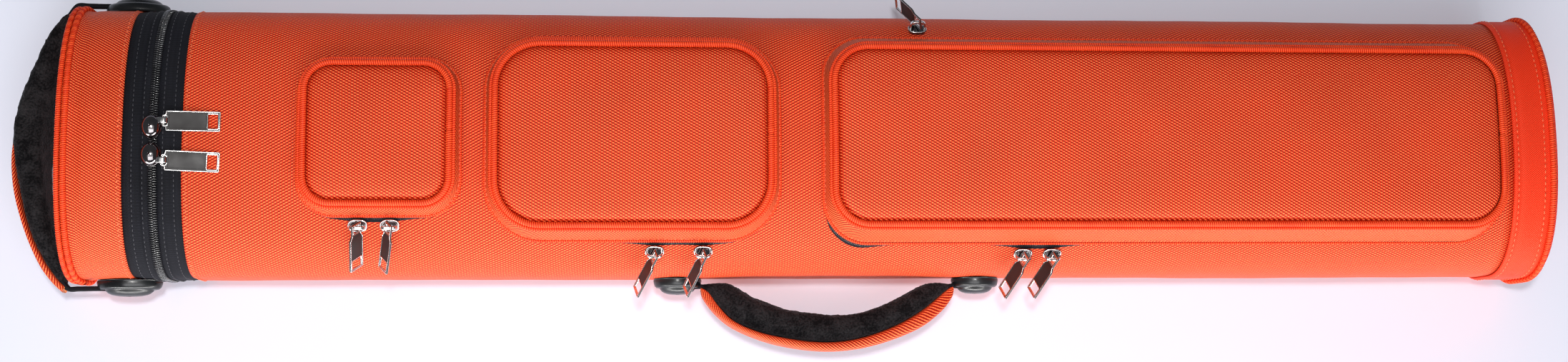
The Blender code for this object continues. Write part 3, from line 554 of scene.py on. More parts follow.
board = boarded("board")


# ---------------------------------------------------------------- camera, lights and floor

CAMERA_TURNS = ((-6.815, "X"), (4.971, "Y"), (-0.107, "Z"))
CAMERA_PLACE = (-0.1184, -0.1483, 1.1151)
CAMERA_LENS = 42.29

def place_camera():
    turns = [Matrix.Rotation(math.radians(angle), 3, axis) for angle, axis in CAMERA_TURNS]
    to_camera = turns[2] @ turns[1] @ turns[0]
    data = bpy.data.cameras.new("camera")
    data.lens, data.sensor_width, data.sensor_fit = CAMERA_LENS, 36, "HORIZONTAL"
    data.clip_start, data.clip_end = 0.01, 50
    camera = new_object("camera", data)
    camera.matrix_world = Matrix.Translation(CAMERA_PLACE) @ to_camera.transposed().to_4x4()
    bpy.context.scene.camera = camera


def area_light(name, place, target, size, power, colour=(1, 1, 1), depth=None):
    data = bpy.data.lights.new(name, "AREA")
    data.energy, data.color, data.size = power, colour, size
    if depth:
        data.shape, data.size_y = "RECTANGLE", depth
    obj = new_object(name, data)
    obj.location = place
    obj.rotation_euler = (Vector(target) - Vector(place)).to_track_quat("-Z", "Y").to_euler()


def light_scene():
    scene = bpy.context.scene
    scene.view_settings.view_transform = "Standard"
    world = bpy.data.worlds.new("studio")
    world.use_nodes = True
    background = world.node_tree.nodes["Background"]
    background.inputs[0].default_value = (0.90, 0.94, 1.0, 1)
    background.inputs[1].default_value = 0.11
    scene.world = world
    area_light("key", (-0.13, -0.02, 1.35), (-0.05, 0, 0), 0.09, 8.8, (1.0, 0.98, 0.96))
    area_light("front_fill", (-0.1, -0.85, 1.25), (-0.05, 0, 0.05), 1.4, 12.5, (0.98, 0.98, 1.0), 0.7)
    area_light("low_fill", (-0.1, -2.2, 0.24), (-0.1, 0, 0.05), 4.5, 105, (1.0, 0.98, 0.96), 0.36)
    area_light("top_fill", (-0.1, -0.35, 1.9), (-0.1, 0, 0), 2.2, 6.5, (0.98, 0.99, 1.0), 1.2)


def make_floor():
    """A plain pale floor just under the case."""
    look = Look("pale_floor", 0.7, specular=0.3)
    place = look.solid()
    fine = look.noise(place, 500, 3)
    broad = look.noise(place, 1.3, 2)
    shade = look.mix(look.ramp(broad, 0.35, 0.65), (0.72, 0.75, 0.86), (0.76, 0.79, 0.90))
    mesh = made_mesh("floor", [(-4, -4, 0), (4, -4, 0), (4, 4, 0), (-4, 4, 0)], [[0, 1, 2, 3]])
    floor = new_object("floor", mesh, look.finish(shade, fine, 0.05 * MM, 0.3))
    floor.location.z = -0.4 * MM


# ---------------------------------------------------------------- body, lid and base


def case_rows(xs, outs, count=RING_POINTS, floor=0.0, swell=None):
    """Rings of the section at each x, moved outwards by each out."""
    rows = []
    for x, out in zip(xs, outs):
        ring, outward, lengths = section(out, count, floor)
        if swell is not None:
            ring = ring + outward * swell(x, lengths[:-1])[:, None]
            ring[:, 1] = np.maximum(ring[:, 1], floor)
        rows.append(np.column_stack([np.full(count, x), ring]))
    return np.array(rows)


def fabric_tube(name, xs, outs, depth, body, material, node, swell=None):
    """Cloth round the case, with its weave laid flat."""
    uv = np.stack(np.meshgrid(np.asarray(xs), section()[2], indexing="ij"), -1)
    mesh = grid_mesh(name, case_rows(xs, outs, swell=swell), wrap_cols=True, uv=uv)
    piece(name, thickened(mesh, depth, material), body, "orange_fabric", replaces=[node])


def ring_path(x, ring, outward):
    count = len(ring)
    return np.column_stack([np.full(count, x), ring]), np.column_stack([np.zeros(count), outward])


def above_floor(points):
    return points[:, 2] > 3 * MM


def ring_stitches(name, x, out, floor, body):
    ring, outward, _ = section(out * MM, EDGE_POINTS, floor * MM)
    path, up = ring_path(x, ring, outward)
    stitches(name, path, up, body, "orange_fabric", orange_thread, keep=above_floor)


def ring_cord(name, x, out, floor, radius, rib, rib_pitch):
    ring, outward, _ = section(out * MM, EDGE_POINTS, floor * MM)
    path, up = ring_path(x, ring, outward)
    return cord_mesh(name, path, up, radius * MM, 0.42 * MM, rib, rib_pitch * MM, 10)


def fabric_swell(x, along):
    """How cloth over foam stands off the board: soft, long waves."""
    wave = np.sin(along * 48 + 9 * x) * np.sin(x * 23 + along * 11 + 1.3)
    fine = np.sin(along * 130 - 41 * x) * np.sin(x * 95 + along * 37)
    return 0.28 * MM * wave + 0.12 * MM * fine - 0.1 * MM


def make_body_cover():
    start, end = ZIP_X + TAPE_BODY, SEAM_X + 1 * MM
    even = np.arange(start + 3 * MM, end - 2 * MM, 3.6 * MM)
    xs = np.concatenate([[start, start + 0.4 * MM, start + 1.2 * MM], even, [end]])
    outs = np.zeros(len(xs))
    outs[:3] = (-0.5 * MM, -0.1 * MM, 0.1 * MM)
    fabric_tube("body_fabric", xs, outs, COVER, "case", nylon, "body_cover", fabric_swell)
    ring_stitches("body_edge_stitches", start + 2.3 * MM, 0.05, 0.2, "case")


def make_boot():
    """The closed end: a plainer band over the seam, a domed end and a ribbed piping by the rim."""
    xs = [SEAM_X + past * MM for past in (-0.2, 0, 0.8, 2.2, 4.0, 5.0)]
    outs = [out * MM for out in (0.1, 1.0, 1.5, 1.6, 1.0, 1.3)]
    xs += list(np.linspace(SEAM_X + 7 * MM, BASE_END - 8 * MM, 7))
    outs += [1.5 * MM] * 7
    for turn in np.radians(np.linspace(0, 80, 8)):
        xs.append(BASE_END - 4 * MM + END_ROUND * math.sin(turn))
        outs.append(1.4 * MM - END_ROUND * (1 - math.cos(turn)))
    fabric_tube("boot_band", xs, outs, 0.9 * MM, "case", nylon_plain, "base_boot")
    end_panel("boot_end", BASE_END - 0.4 * MM, 1, outs[-1] + 0.4 * MM, "case", nylon_plain, 0.9 * MM)
    mesh = ring_cord("boot_piping", BASE_END - 5 * MM, 2.6, 1.6, 1.55, 0.13, 1.7)
    piece("boot_piping", mesh, "case", "orange_fabric", piped, replaces=["base_piping"])
    for k, x in enumerate((SEAM_X + 2.4 * MM, BASE_END - 9.5 * MM), 1):
        ring_stitches(f"boot_stitches_{k}", x, 1.6, 0.4, "case")


def end_panel(name, x, side, out, body, material, bulge):
    """A soft end face, slightly domed, as rings that shrink to its middle."""
    ring, _, _ = section(out, RING_POINTS, 0.2 * MM)
    middle = np.array(MIDDLE)
    rows, flat = [], []
    for share in (1.0, 0.995, 0.97, 0.93, 0.86, 0.74, 0.6, 0.45, 0.3, 0.15, 0.04):
        small = middle + (ring - middle) * share
        lift = bulge * (1 - share**4) - 0.5 * MM * (share > 0.99)
        rows.append(np.column_stack([np.full(len(ring), x + side * lift), small]))
        flat.append(np.vstack([small, small[:1]]))
    mesh = grid_mesh(name, np.array(rows), wrap_cols=True, uv=np.array(flat))
    bm = bmesh.new()
    bm.from_mesh(mesh)
    edges = [edge for edge in bm.edges if edge.is_boundary]
    near = lambda vert: (vert.co.yz - Vector(middle)).length < 6 * MM
    rim = [edge for edge in edges if all(near(vert) for vert in edge.verts)]
    bmesh.ops.holes_fill(bm, edges=rim, sides=0)
    bm.to_mesh(mesh)
    bm.free()
    if np.mean([face.normal.x for face in mesh.polygons]) * side < 0:
        mesh.flip_normals()
    mesh.shade_smooth()
    piece(name, thickened(mesh, 0.8 * MM, material), body, "orange_fabric")


def make_lid():
    """The lid's cloth, its end and the double piping round its rim."""
    edge = ZIP_X - TAPE_LID
    xs, outs = [], []
    for turn in np.radians(np.linspace(80, 0, 8)):
        xs.append(LID_END + 4 * MM - END_ROUND * math.sin(turn))
        outs.append(-END_ROUND * (1 - math.cos(turn)))
    xs += list(np.linspace(LID_END + 7 * MM, edge - 2 * MM, 10)) + [edge - 0.6 * MM, edge]
    outs += [0.0, -0.7 * MM, -0.1 * MM] + [0.1 * MM] * 7 + [0.0, -0.6 * MM]
    half_swell = lambda x, along: 0.5 * fabric_swell(x, along)
    fabric_tube("lid_fabric", xs, outs, COVER, "lid", nylon_lid, "lid_cover", half_swell)
    end_panel("lid_end", LID_END + 0.4 * MM, -1, outs[0] + 0.4 * MM, "lid", nylon_lid, 0.4 * MM)
    for k, (past, out, radius) in enumerate(((1.9, 0.9, 1.45), (5.4, 1.0, 1.6)), 1):
        mesh = ring_cord(f"lid_piping_{k}", LID_END + past * MM, out, radius, radius, 0.12, 1.5)
        stands_for = ["lid_piping"] if k == 2 else []
        piece(f"lid_rim_cord_{k}", mesh, "lid", "orange_fabric", piped, replaces=stands_for)
    ring_stitches("lid_edge_stitches", edge - 2.2 * MM, 0.05, 0.2, "lid")


def open_section(out, floor):
    """The section from one side of the hinge round the front to the other, in millimetres out and up."""
    ring, outward, _ = section(out * MM, TAPE_POINTS, floor * MM)
    keep = (ring[:, 1] > 1.5 * MM) | (np.abs(ring[:, 0]) > HALF_HINGE + 0.6 * MM)
    return ring[keep], outward[keep]


def tape_band(name, stations, body, node):
    """Half of the zip's tape: (x, out) stations across it, with an inner side."""
    rows = []
    for x, out in stations:
        ring, _ = open_section(out, 0.25)
        rows.append(np.column_stack([np.full(len(ring), x), ring]))
    count = min(len(row) for row in rows)
    rows = np.array([row[:count] for row in rows])
    piece(name, thickened(grid_mesh(name, rows), 0.7 * MM, tape), body, "black_tape", replaces=[node])


def make_zip():
    """Tapes with a raised fold, stitched at both edges, and the two halves of the coil."""
    fold = ((0.25, -0.45), (2.6, -0.35), (3.2, 0.15), (4.6, 0.45), (6.0, 0.25), (6.6, -0.3), (9.0, -0.2))
    fold += ((12.0, -0.3), (13.6, -0.5))
    tooth = ((0.0, 0.25, 0.15), (0.35, 0.5, 0.2), (0.9, 0.5, 0.25), (1.3, 0.4, 0.3))
    tooth += ((2.3, 0.4, 0.1), (2.7, 0.2, -0.2))
    bead, faces = capsule(mm(tooth), 7)
    for body, half, side, wide in (("case", "body", 1, TAPE_BODY), ("lid", "lid", -1, TAPE_LID)):
        stations = [(ZIP_X + side * across * MM, out) for across, out in fold]
        stations.append((ZIP_X + side * (wide + 0.6 * MM), -0.75))
        tape_band(f"tape_{half}", stations, body, f"zip_tape_{half}")
        for k, (across, lift) in enumerate(((5.4, 0.3), (11.4, -0.25)), 1):
            path, up = ring_path(ZIP_X + side * across * MM, *open_section(lift, 0.3))
            name = f"tape_{half}_stitches_{k}"
            stitches(name, path, up, body, "black_tape", black_thread, (2.8, 1.9, 0.22), False, above_floor)
        path, up = ring_path(ZIP_X, *open_section(0.35, 0.5))
        places = placed_along(path, up, 1.36 * MM, False, lambda points: points[:, 2] > 8.6 * MM)
        if side > 0:
            places[:, :3, 3] += places[:, :3, 0] * 0.68 * MM
        turned = places.copy()
        turned[:, :3, 0] = np.array([side, 0, 0])
        turned[:, :3, 1] = np.cross(places[:, :3, 2], turned[:, :3, 0])
        turned[:, :3, 3] -= turned[:, :3, 0] * 0.25 * MM
        mesh = scatter(f"coil_{half}", bead, faces, turned)
        piece(f"coil_{half}", mesh, body, "black_tape", teeth_nylon, replaces=[f"zip_chain_{half}"])


def make_hinge():
    """One strip of webbing across the back, where the lid turns."""
    xs = np.linspace(ZIP_X - TAPE_LID + 0.4 * MM, ZIP_X + TAPE_BODY - 0.4 * MM, 45)
    ys = np.linspace(-HALF_HINGE, HALF_HINGE, 60)
    top = [[(x, y, 1.1 * MM) for y in ys] for x in xs]
    mesh = thickened(grid_mesh("hinge_webbing", np.array(top)), 0.7 * MM, tape)
    low = min(vert.co.z for vert in mesh.vertices)
    mesh.transform(Matrix.Translation((0, 0, 0.4 * MM - low)))
    obj = new_object("hinge_webbing", mesh)
    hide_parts("hinge_leaf_body", "hinge_leaf_lid")
    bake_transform(obj)


# ---------------------------------------------------------------- pockets

PANEL_STEP = 1.6 * MM
BELLY = 0.75 * MM
ZIP_UNDER_FOOT = 5 * MM
PUCKER = 0.22 * MM

class Pocket:
    """A moulded pocket: pillowed panel, ribbed piping, welts and a stitched gusset down to its zip."""

    def __init__(self, name, x, half_x, half_y, radius, rise, lean, sliders):
        self.name, self.body, self.x = name, f"{name}_pocket", x * MM
        self.half_x, self.half_y = half_x * MM, half_y * MM
        self.radius, self.rise = radius * MM, rise * MM
        self.lean = [value * MM for value in lean]
        self.sliders = [value * MM for value in sliders]
        self.steps_x = max(6, round((self.half_x - self.radius) / PANEL_STEP))
        self.steps_y = max(6, round((self.half_y - self.radius) / PANEL_STEP))

    def outline(self, grow_x, grow_y):
        half_x, half_y = self.half_x + grow_x, self.half_y + grow_y
        radius = max(self.radius + min(grow_x, grow_y), 3 * MM)
        radius = min(radius, half_x * 0.98, half_y * 0.98)
        points = []
        for quarter, (sx, sy) in enumerate(((1, 1), (-1, 1), (-1, -1), (1, -1))):
            cx, cy = sx * (half_x - radius), sy * (half_y - radius)
            for turn in np.radians(90 * quarter + np.linspace(0, 90, 15)):
                points.append((cx + radius * math.cos(turn), cy + radius * math.sin(turn)))
            start = np.array(points[-1])
            steps = self.steps_y if quarter % 2 else self.steps_x
            run = np.array([-2 * cx, 0]) if quarter % 2 == 0 else np.array([0, -2 * cy])
            points += [tuple(start + run * k / steps) for k in range(1, steps)]
        return np.array(points)

    def ring(self, grow_x, grow_y, height, on_case=False):
        """The outline at a height over the panel's arch or, on_case, over the case itself."""
        flat = self.outline(grow_x, grow_y)
        share = 1.0 if on_case else 0.8
        return np.column_stack([self.x + flat[:, 0], flat[:, 1], front_z(share * flat[:, 1]) + height])

    def up(self, path, share=1.0):
        slope = front_slope(share * path[:, 1])
        return np.column_stack([np.zeros(len(path)), np.sin(slope), np.cos(slope)])

    def add(self, name, mesh, *materials, replaces=()):
        return piece(f"{self.name}_{name}", mesh, self.body, "orange_fabric", *materials, replaces=replaces)

    def panel(self):
        """The pillowed front: rows of (inwards, lift) in millimetres, then a nearly flat middle."""
        profile = [(2.2, -2.6), (3.3, -2.2), (4.0, -1.0), (4.7, 0.4), (5.8, 1.35), (7.4, 1.95), (9.6, 2.3)]
        profile += [(13, 2.6), (18, 2.8), (24, 2.9)]
        rows = []
        for inwards, lift in profile:
            if inwards * MM < self.half_y - 3 * MM:
                rows.append(self.ring(-inwards * MM, -inwards * MM, self.rise + lift * MM))
        last = profile[-1][0] * MM
        for share in (0.3, 0.6, 0.85, 0.97, 0.9999):
            inwards = last + (self.half_y - last) * share
            if inwards > last:
                rows.append(self.ring(-inwards, -inwards, self.rise + (2.9 + 0.1 * share) * MM))
        rows = np.array(rows)
        wave = np.sin(rows[..., 0] * 61) * np.sin(rows[..., 1] * 83 + rows[..., 0] * 17)
        inside = np.minimum(self.half_x - np.abs(rows[..., 0] - self.x), self.half_y - np.abs(rows[..., 1]))
        rows[..., 2] += PUCKER * wave * np.clip((inside - 5 * MM) / (8 * MM), 0, 1)
        around = np.concatenate([rows, rows[:, :1]], 1)
        uv = np.stack([around[..., 0], np.sign(around[..., 1]) * self.reach(np.abs(around[..., 1]))], -1)
        mesh = grid_mesh(f"{self.name}_panel", rows, wrap_cols=True, uv=uv)
        bm = bmesh.new()
        bm.from_mesh(mesh)
        bmesh.ops.remove_doubles(bm, verts=bm.verts, dist=0.05 * MM)
        bmesh.ops.dissolve_degenerate(bm, dist=0.02 * MM, edges=bm.edges)
        bm.to_mesh(mesh)
        bm.free()
        facing_up(mesh)
        mesh.shade_smooth()
        self.add("panel", thickened(mesh, 1.3 * MM, nylon, lining), replaces=[f"{self.name}_pocket_shell"])

    @staticmethod
    def reach(y):
        """Length over the arched panel from its middle to y."""
        ys = np.linspace(0, HALF_WIDTH, 200)
        steps = np.hypot(np.diff(ys), np.diff(front_z(0.8 * ys)))
        return np.interp(y, ys, np.concatenate([[0], np.cumsum(steps)]))

    def gusset(self):
        """The slanted side wall. It bellies slightly between the piping and the zip."""
        rows = []
        lean_x, lean_y = self.lean
        top = self.ring(-1.4 * MM, -1.4 * MM, self.rise - 0.9 * MM)
        foot = self.ring(lean_x, lean_y, 1.6 * MM, on_case=True)
        middle = self.ring(lean_x * 0.6, lean_y * 0.6, self.rise * 0.45)
        out = unit(foot - self.ring(lean_x - 1 * MM, lean_y - 1 * MM, 1.6 * MM, on_case=True))
        count = len(top)
        pucker = PUCKER * np.sin(np.arange(count) * 0.9) * np.sin(np.arange(count) * 0.23)
        for share in np.linspace(0, 1, 15):
            row = top * (1 - share) + foot * share
            belly = 4 * share * (1 - share)
            row = row + out * (BELLY * belly + pucker * belly)[:, None]
            row = row * (1 - 0.1 * belly) + middle * 0.1 * belly
            rows.append(row)
        for reach, lift in ((0.5, -0.25), (1.6, -0.3)):
            rows.append(foot - out * reach * MM + np.array([0, 0, lift * MM]))
        mesh = grid_mesh(f"{self.name}_gusset", np.array(rows), wrap_cols=True)
        self.add("gusset", thickened(mesh, 1.1 * MM, nylon_twill, lining))
        for k, share in enumerate((0.22, 0.84)):
            belly = 4 * share * (1 - share)
            path = top * (1 - share) + foot * share + out * (BELLY * belly + 0.12 * MM)
            side = unit(out + np.array([0, 0, 0.6]))
            name = f"{self.name}_gusset_stitches_{k + 1}"
            stitches(name, path, side, self.body, "orange_fabric", orange_thread, (3.1, 2.2, 0.24))

    def cords(self):
        """The piping with its joint, the flat seam beside it and the thin welt at the foot."""
        lean_x, lean_y = self.lean
        path = self.ring(-PIPING, -PIPING, self.rise)
        seam = self.seam_share(path)
        mesh = cord_mesh("piping", path, self.up(path, 0.8), 1.75 * MM, 0.4 * MM, 0.07, 1.25 * MM, 12, seam)
        self.add("piping", mesh, piped, replaces=[f"{self.name}_pocket_piping"])
        path = self.ring(0.55 * MM, 0.55 * MM, self.rise - 1.35 * MM)
        mesh = cord_mesh("seam", path, self.up(path, 0.8), 1.0 * MM, 0.5 * MM, 0.06, 1.25 * MM, 8)
        self.add("seam_welt", mesh, piped)
        path = self.ring(lean_x + 0.25 * MM, lean_y + 0.25 * MM, 2.0 * MM, on_case=True)
        mesh = cord_mesh("foot", path, self.up(path), 0.95 * MM, 0.5 * MM, 0.08, 1.4 * MM, 8)
        self.add("foot_welt", mesh, piped)

    def seam_share(self, path):
        """Where the piping's ends meet, as a share of its length: the middle of the side towards the base."""
        steps = np.linalg.norm(np.roll(path, -1, 0) - path, axis=1)
        k = int(np.argmin(np.abs(path[:, 1]) - 0.5 * (path[:, 0] - self.x)))
        return float(steps[:k].sum() / steps.sum())

    def zip_reach(self, path):
        """How far the zip shows past the foot: a hair on the handle side, more near its sliders."""
        low = np.clip((-path[:, 1] - self.half_y * 0.75) / (self.half_y * 0.2), 0, 1)
        reach = -1.2 * MM + low * 2.1 * MM
        for x in self.sliders:
            reach += 1.9 * MM * low * np.exp(-(((path[:, 0] - x) / (15 * MM)) ** 2))
        if self.name == "long":
            corner = np.exp(-(((path[:, 0] - 12 * MM) / (17 * MM)) ** 2)) * (path[:, 1] < -25 * MM)
            reach += 2.4 * MM * corner
        return reach

    def zipper(self):
        """Zip tape on the case under the foot, with a coil where it shows."""
        lean_x, lean_y = self.lean
        base = self.ring(lean_x, lean_y, 0, on_case=True)
        out = unit(self.ring(lean_x + 1 * MM, lean_y + 1 * MM, 0, on_case=True) - base)
        reach = self.zip_reach(base)
        rows = []
        for share, lift in ((1.0, 0.15), (0.97, 0.75), (0.85, 0.95), (0.5, 0.95), (0.0, 0.95)):
            offset = -ZIP_UNDER_FOOT + (reach + ZIP_UNDER_FOOT) * share
            row = base + out * offset[:, None]
            row[:, 2] = front_z(row[:, 1]) + lift * MM
            rows.append(row)
        mesh = grid_mesh(f"{self.name}_zip_band", np.array(rows), wrap_cols=True)
        facing_up(mesh)
        mesh = thickened(mesh, 0.5 * MM, tape)
        piece(f"{self.name}_zip_band", mesh, "case", "black_tape", replaces=[f"{self.name}_pocket_zip"])
        path = base + out * np.minimum(reach - 0.75 * MM, 1.4 * MM)[:, None]
        path[:, 2] = front_z(path[:, 1]) + 0.95 * MM
        bead, faces = capsule(mm(((-0.75, 0.15, 0), (-0.5, 0.3, 0.1), (0.5, 0.3, 0.1), (0.75, 0.15, 0))))
        places = placed_along(path, self.up(path), 0.95 * MM)
        turned = places.copy()
        turned[:, :3, 0], turned[:, :3, 1] = places[:, :3, 1], -places[:, :3, 0]
        mesh = scatter(f"{self.name}_coil", bead, faces, turned)
        piece(f"{self.name}_coil", mesh, "case", "black_tape", teeth_nylon)

    def build(self):
        self.panel()
        self.gusset()
        self.cords()
        self.zipper()


POCKETS = {
    "small": Pocket("small", -254, 41.5, 41, 17, 15, (3, 3.5), (-265.8, -248.2)),
    "medium": Pocket("medium", -113, 78.5, 53, 27, 15, (4, 5), (-101, -73.5)),
    "long": Pocket("long", 194, 196, 52.5, 22, 16, (3, 7), (111, 128)),
}


# ---------------------------------------------------------------- zip sliders and pulls

SLIDER_HALF_V = 3.6 * MM
SLIDER_PLATE = 1.8 * MM
ARCH_CENTRE = 6.8 * MM
PULL_SETBACK = 2.15 * MM
PULL_THICK = 1.3 * MM
PULL_HALF = 5.6 * MM
PULL_NECK = 3.9 * MM
PULL_LENGTH = 28 * MM
LID_PULL_LENGTH = 30.3 * MM
LID_NOSE_SHIFT = 3.2 * MM

# Pocket, number, x, side of the case, yaw and twist of the pull in degrees.
POCKET_SLIDERS = (
    ("small", 1, -265.8 * MM, -1, 3, -60),
    ("small", 2, -248.2 * MM, -1, 9, 60),
    ("medium", 1, -101 * MM, -1, 24, 78),
    ("medium", 2, -73.5 * MM, -1, 22, 78),
    ("long", 1, 111 * MM, -1, 24, 78),
    ("long", 2, 128 * MM, -1, 24, 78),
    ("long", 3, 51.7 * MM, 1, 24, 78),
)
LID_SLIDERS = ((1, 4 * MM, -1, 0), (2, -11.2 * MM, 1, -2))


def track_frame(x, y, along):
    """The slider's frame on the case's front: columns are u along the chain, v the pull's way, w outwards."""
    slope = float(front_slope(y))
    out = Vector((0, math.sin(slope), math.cos(slope)))
    lie = Vector((1, 0, 0))
    if along == "X":
        lie = Vector((0, math.copysign(math.cos(slope), y), -abs(math.sin(slope))))
    turn = Matrix((lie.cross(out), lie, out)).transposed().to_4x4()
    return Matrix.Translation(Vector((x, y, float(front_z(y))))) @ turn


def clear_of_case(points, spare):
    """Whether all points are past the case's side or above its front, by spare."""
    return all(abs(p.y) >= HALF_WIDTH + spare or p.z >= float(front_z(p.y)) + spare for p in points)


def clear_of_plate(points, spare):
    """Whether all points, in the slider's frame, are beside or above its plate, by spare."""
    return all(abs(p.y) > SLIDER_HALF_V + spare or p.z > SLIDER_PLATE + spare for p in points)


def pull_frame(seat, centre, setback, yaw, twist):
    """The pull's own frame: yawed and twisted on its axis, and let down as far as case and slider allow."""
    corners = []
    for reach in (-0.6, 0, 1, 2, 2.5, 3, 3.5, 4, 5, 6, 7, 7.2, 9, 11, 14, 18, 22, 25, 28):
        half = PULL_NECK if reach <= 7 else PULL_HALF
        for side in (-half, 0, half):
            for face in (-PULL_THICK / 2, PULL_THICK / 2):
                corners.append(Vector((side, reach * MM - setback, face)))
    best = None
    for step in range(-20, 160):
        drop = math.radians(step * 0.5)
        turn = Matrix.Rotation(-drop, 4, "X") @ Matrix.Rotation(yaw, 4, "Z") @ Matrix.Rotation(twist, 4, "Y")
        placed = Matrix.Translation(centre) @ turn
        free = setback <= 0 or clear_of_plate([placed @ corner for corner in corners], 0.25 * MM)
        if free and clear_of_case([seat @ placed @ corner for corner in corners], 0.6 * MM):
            best = seat @ placed @ Matrix.Translation((0, -setback, 0))
        elif best is not None:
            break
    return best


def rounded_loop(corners, radius, steps=5):
    """A closed polygon with its corners rounded, as (x, y) points."""
    points = []
    count = len(corners)
    for i in range(count):
        before, here, after = (Vector(corners[k % count]) for k in (i - 1, i, i + 1))
        first, second = (before - here), (after - here)
        cut = min(radius, first.length * 0.48, second.length * 0.48)
        a, b = here + first.normalized() * cut, here + second.normalized() * cut
        for k in range(steps + 1):
            t = k / steps
            points.append(tuple(a * (1 - t) ** 2 + here * 2 * t * (1 - t) + b * t * t))
    return points


def plate_mesh(loops, half_thick, bevel):
    """A flat plate with holes, from 2-D loops, with rounded edges."""
    curve = bpy.data.curves.new("plate", "CURVE")
    curve.dimensions, curve.fill_mode = "2D", "BOTH"
    curve.extrude, curve.bevel_depth, curve.bevel_resolution = half_thick - bevel, bevel, 2
    curve.offset = -bevel
    for loop in loops:
        spline = curve.splines.new("POLY")
        spline.points.add(len(loop) - 1)
        for point, (x, y) in zip(spline.points, loop):
            point.co = (x, y, 0, 1)
        spline.use_cyclic_u = True
    obj = new_object("plate", curve)
    mesh = shape_of(obj)
    bpy.data.objects.remove(obj)
    mesh.shade_smooth()
    mesh.set_sharp_from_angle(angle=math.radians(40))
    return mesh


def distinct(points):
    """Points of a closed loop without those that repeat the one before."""
    return points[np.linalg.norm(points - np.roll(points, 1, 0), axis=1) > 0.02 * MM]


def level_up(path):
    return np.tile([0.0, 0.0, 1.0], (len(path), 1))


def loop_cord(loop, z, radius, sides=8):
    path = distinct(np.array([(x, y, z) for x, y in loop]))
    _, beside, above = frames_along(path, level_up(path))
    turn = 2 * np.pi * np.arange(sides)[:, None] / sides
    points = path[:, None] + radius * (beside[:, None] * np.cos(turn) + above[:, None] * np.sin(turn))
    return grid_mesh("rim", points, True, True)


def strap_mesh(path, half_wide, half_thick, up=(1, 0, 0)):
    """A rounded flat strap along a path. Its width lies along up."""
    path = np.asarray(path, float)
    _, beside, above = frames_along(path, np.tile(np.asarray(up, float), (len(path), 1)), False)
    side, wide = squarish(16, 0.5, 0.3)
    points = swept(path, beside, above, side * half_thick, wide * half_wide)
    return grid_mesh("strap", points, False, True, True)


def joined(name, parts):
    """One mesh from (mesh, matrix, material) parts, keeping a slot for each material."""
    objects = []
    for mesh, matrix, material in parts:
        mesh = mesh.copy()
        mesh.transform(matrix)
        mesh.materials.clear()
        if not mesh.uv_layers:
            mesh.uv_layers.new(name="weave")
        mesh.uv_layers[0].name = "weave"
        objects.append(new_object(name, mesh, material))
    first = objects[0]
    chosen = {"selected_editable_objects": objects, "selected_objects": objects}
    with bpy.context.temp_override(active_object=first, object=first, **chosen):
        bpy.ops.object.join()
    return mesh_only(first)


def smooth_line(points, steps=6):
    """A Catmull-Rom curve through points of any size."""
    points = [np.asarray(point, float) for point in points]
    path = []
    for i in range(len(points) - 1):
        p0, p1, p2 = points[max(i - 1, 0)], points[i], points[i + 1]
        p3 = points[min(i + 2, len(points) - 1)]
        for k in range(steps):
            t = k / steps
            square, cube = 2 * p0 - 5 * p1 + 4 * p2 - p3, 3 * p1 - p0 - 3 * p2 + p3
            path.append(0.5 * (2 * p1 + (p2 - p0) * t + square * t * t + cube * t**3))
    path.append(points[-1])
    return np.array(path)


def shrunk(loop, shift):
    """A loop moved inwards by shift, point by point, along its own normals."""
    points = distinct(np.array(loop))
    along = unit(np.roll(points, -1, 0) - np.roll(points, 1, 0))
    inward = np.column_stack([-along[:, 1], along[:, 0]])
    x, y = points.T
    area = np.sum(x * np.roll(y, -1) - np.roll(x, -1) * y)
    return [tuple(point) for point in points + inward * shift * np.sign(area)]


def pull_mesh(length, full):
    """A flat pull: a sunk panel, bright rims, an eye on its bar and a window by its far end.

    A full one keeps its whole width up to just past its bar, where a narrow loop goes on to the bar.
    """
    bar, eye_half = 0.6 * MM, 2.5 * MM
    neck, start, shoulder = PULL_NECK, 6.2 * MM, 8.6 * MM
    if full:
        neck, start, shoulder = 3.3 * MM, 1.2 * MM, 1.3 * MM
    outer = [(-neck, -bar), (neck, -bar), (neck, start), (PULL_HALF, shoulder), (PULL_HALF, length)]
    outer += [(-PULL_HALF, length), (-PULL_HALF, shoulder), (-neck, start)]
    eye_end = 2.1 * MM if full else 5.2 * MM
    eye = [(-eye_half, bar), (eye_half, bar), (eye_half, eye_end), (-eye_half, eye_end)]
    near, far, side = length - 6.6 * MM, length - 1.3 * MM, PULL_HALF - 1.5 * MM
    window = [(-side, near), (side, near), (side, far), (-side, far)]
    loops = [rounded_loop(outer, 0.7 * MM), rounded_loop(eye, 0.6 * MM), rounded_loop(window, 0.5 * MM)]
    low, high = 3.2 * MM if full else 7.6 * MM, near - 0.9 * MM
    panel = rounded_loop([(-side, low), (side, low), (side, high), (-side, high)], 0.5 * MM)
    parts = [(plate_mesh(loops, 0.40 * MM, 0.08 * MM), HERE, enamel)]
    rim = shrunk(loops[0], 0.34 * MM)
    parts.append((strap_loop(rim, 0.62 * MM, 0.32 * MM), HERE, edge_metal))
    for loop, radius in ((loops[1], 0.34 * MM), (loops[2], 0.36 * MM)):
        parts.append((loop_cord(shrunk(loop, -0.3 * MM), 0, radius + 0.15 * MM), HERE, edge_metal))
    for face in (-1, 1):
        parts.append((loop_cord(panel, face * 0.36 * MM, 0.14 * MM, 6), HERE, enamel))
    return joined("pull", parts)


def strap_loop(loop, half_high, half_wide):
    """A rim along a flat loop: upright sides, slightly rounded top and bottom."""
    path = np.array([(x, y, 0.0) for x, y in loop])
    _, beside, above = frames_along(path, level_up(path))
    wide, high = squarish(12, 0.45, 0.45)
    return grid_mesh("rim", swept(path, beside, above, wide * half_wide, high * half_high), True, True)


